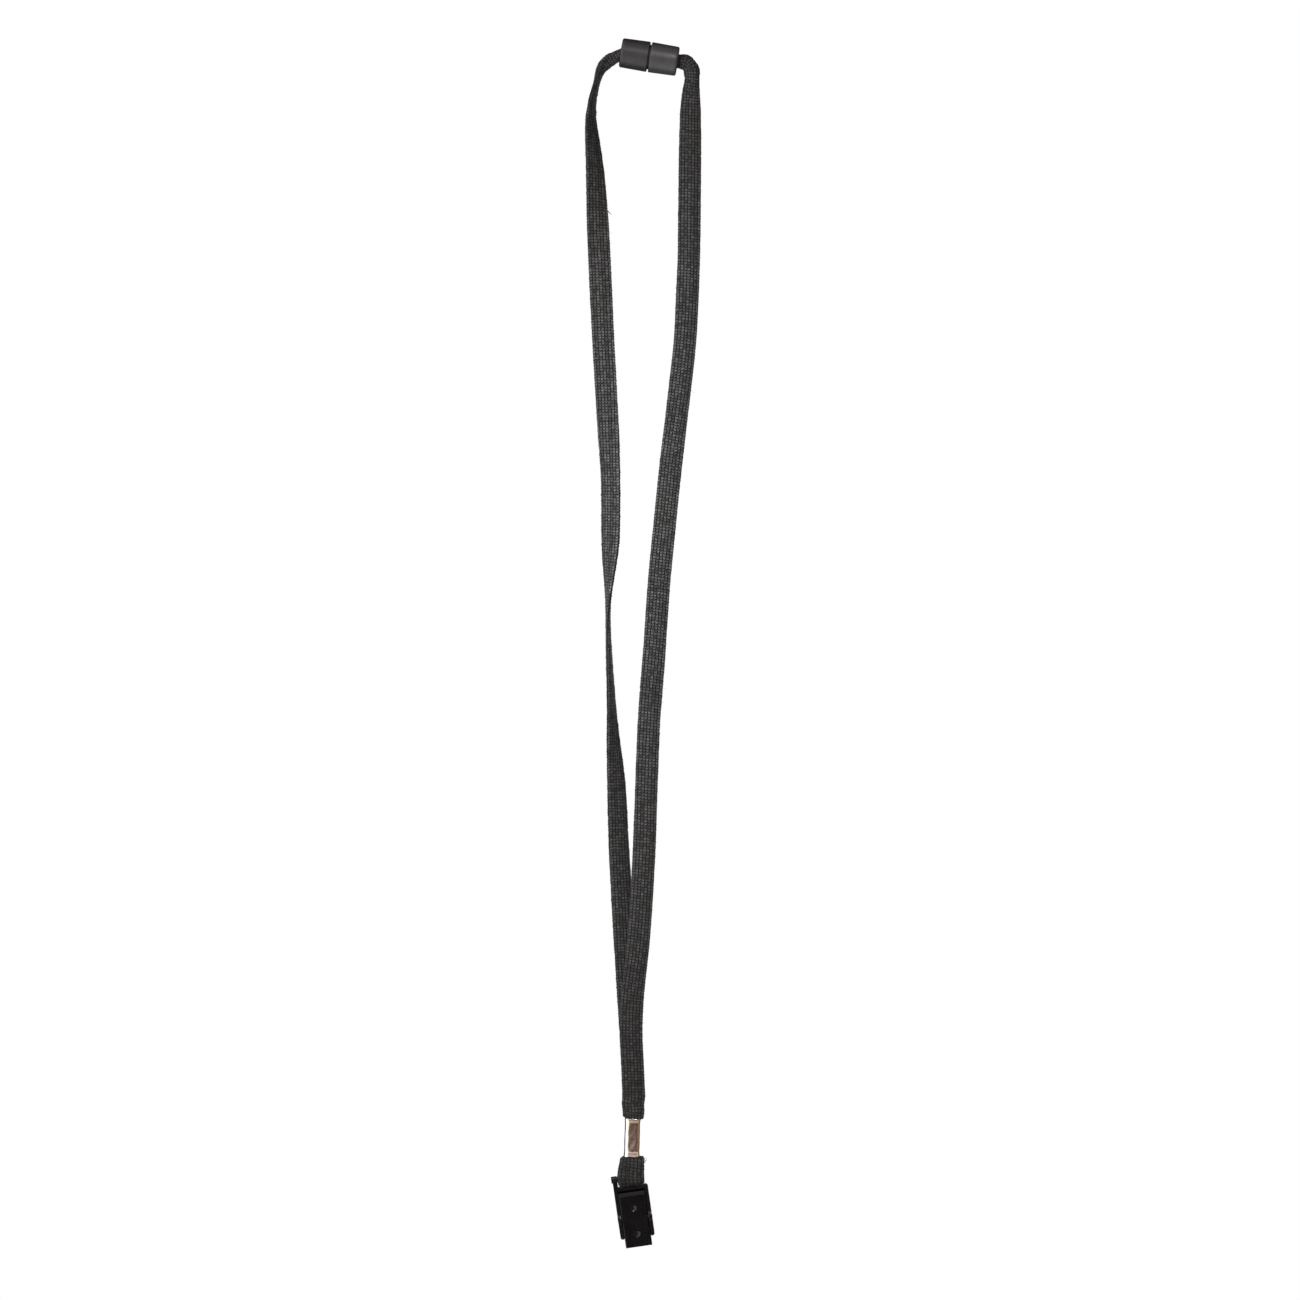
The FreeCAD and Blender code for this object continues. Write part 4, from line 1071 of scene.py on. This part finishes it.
# What reflections see all round the object: from behind it by its left, the camera and its right
ROOM_SIDES = [(0.0, (0.03, 0.03, 0.03)), (0.23, (0.05, 0.05, 0.05)), (0.25, (1.6, 1.56, 1.50)),
              (0.438, (1.5, 1.42, 1.30)), (0.482, (0.13, 0.08, 0.058)), (0.62, (0.12, 0.068, 0.05)),
              (0.70, (0.34, 0.22, 0.15)), (0.80, (0.16, 0.11, 0.08)), (1.0, (0.03, 0.03, 0.03))]

# What they see on the camera's side besides, from straight down to straight up
ROOM_LEVELS = [(0.0, (0.40, 0.38, 0.37)), (0.20, (0.34, 0.30, 0.28)), (0.265, (0.0, 0.0, 0.0)),
               (0.52, (0.0, 0.0, 0.0)), (0.555, (0.75, 0.74, 0.76)), (0.62, (0.60, 0.52, 0.44)),
               (0.68, (0.16, 0.14, 0.13)), (1.0, (0.08, 0.08, 0.08))]


def build_world():
    """A white backdrop for the camera; reflections see a room, white at left, brown in front."""
    world = bpy.data.worlds.new("studio")
    bpy.context.scene.world = world
    world.use_nodes = True
    paint = Paint(None, world.node_tree)
    paint.tree.nodes.clear()
    place = paint.add("ShaderNodeTexCoord", {}, "Generated")
    toward_camera = paint.math("MULTIPLY", paint.parts(place, "Y"), -1.0)
    turn = paint.math("ARCTAN2", paint.parts(place, "X"), toward_camera)
    turn = paint.math("MULTIPLY_ADD", turn, 1 / (2 * math.pi), 0.5)
    sides = paint.ramp(turn, ROOM_SIDES)
    height = paint.math("MULTIPLY_ADD", paint.parts(place, "Z"), 0.5, 0.5)
    in_front = paint.ramp(toward_camera, [(0.0, 0.08), (0.35, 1.0)])
    levels = paint.mix(1.0, paint.ramp(height, ROOM_LEVELS), in_front, "MULTIPLY")
    room = paint.mix(1.0, sides, levels, "ADD")
    shown = paint.add("ShaderNodeLightPath", {}, "Is Camera Ray")
    glossy = paint.add("ShaderNodeLightPath", {}, "Is Glossy Ray")
    around = paint.mix(glossy, AMBIENT, room)
    colour = paint.mix(shown, around, WHITE)
    background = paint.add("ShaderNodeBackground", {"Color": colour, "Strength": 1.0})
    output = paint.tree.nodes.new("ShaderNodeOutputWorld")
    paint.tree.links.new(background, output.inputs["Surface"])


def area_light(name, place, target, size, power, colour, spread=180, glossy=False):
    """A soft rectangular light that points at a target."""
    lamp = bpy.data.lights.new(name, "AREA")
    lamp.shape = "RECTANGLE"
    lamp.size, lamp.size_y = size
    lamp.energy = power
    lamp.color = colour
    lamp.spread = math.radians(spread)
    light = bpy.data.objects.new(name, lamp)
    light.location = place
    light.rotation_euler = (Vector(target) - Vector(place)).to_track_quat("-Z", "Y").to_euler()
    light.visible_camera = False
    light.visible_glossy = glossy
    bpy.context.scene.collection.objects.link(light)
    return light


def build_floor():
    """A plain pale disc well below the hanging clip."""
    rim = 96
    angle = np.arange(rim) / rim * 2 * math.pi
    level = np.full(rim, FLOOR_HEIGHT)
    points = np.stack((FLOOR_RADIUS * np.cos(angle), FLOOR_RADIUS * np.sin(angle), level), 1)
    floor = mesh_piece("floor", points, (np.arange(rim)[None],))
    paint = Paint("pale_floor")
    place = paint.object_place()
    shade = paint.ramp(paint.noise(place, 6.0), [(0.3, 0.80), (0.7, 0.84)])
    paint.set(Base_Color=shade, Roughness=0.9)
    glow = paint.add("ShaderNodeEmission", {"Color": (1, 1, 1, 1), "Strength": 1.0})
    shown = paint.add("ShaderNodeLightPath", {}, "Is Camera Ray")
    mixed = paint.add("ShaderNodeMixShader", {0: shown, 1: paint.shader.outputs[0], 2: glow})
    paint.tree.links.new(mixed, paint.tree.nodes["Material Output"].inputs["Surface"])
    floor.data.materials.append(paint.material)
    floor.visible_glossy = False


def build_camera():
    """A long lens straight in front of the hanging lanyard."""
    scene = bpy.context.scene
    camera = bpy.data.objects.new("camera", bpy.data.cameras.new("camera"))
    camera.data.lens = 100.0
    camera.data.sensor_width = 36.0
    camera.location = (0.0003, -1.517, -0.2491)
    camera.rotation_euler = (math.pi / 2, 0, 0)
    camera.data.clip_start = 0.01
    scene.collection.objects.link(camera)
    scene.camera = camera
    scene.view_settings.view_transform = "Standard"


build_straps()
build_connector()
build_crimp()
build_clip()
build_world()
area_light("key", (-0.24, -0.46, -0.17), (0, 0, -0.19), (0.15, 0.15), 0.54, WHITE, spread=58)
area_light("glint", (0.08, -0.6, 0.3), (0, 0, -0.45), (0.08, 0.08), 0.34, WHITE,
           spread=60, glossy=True)
area_light("back", (0.3, 0.9, 0.0), (0, 0, -0.2), (0.6, 0.6), 20.0, WHITE)
build_floor()
build_camera()
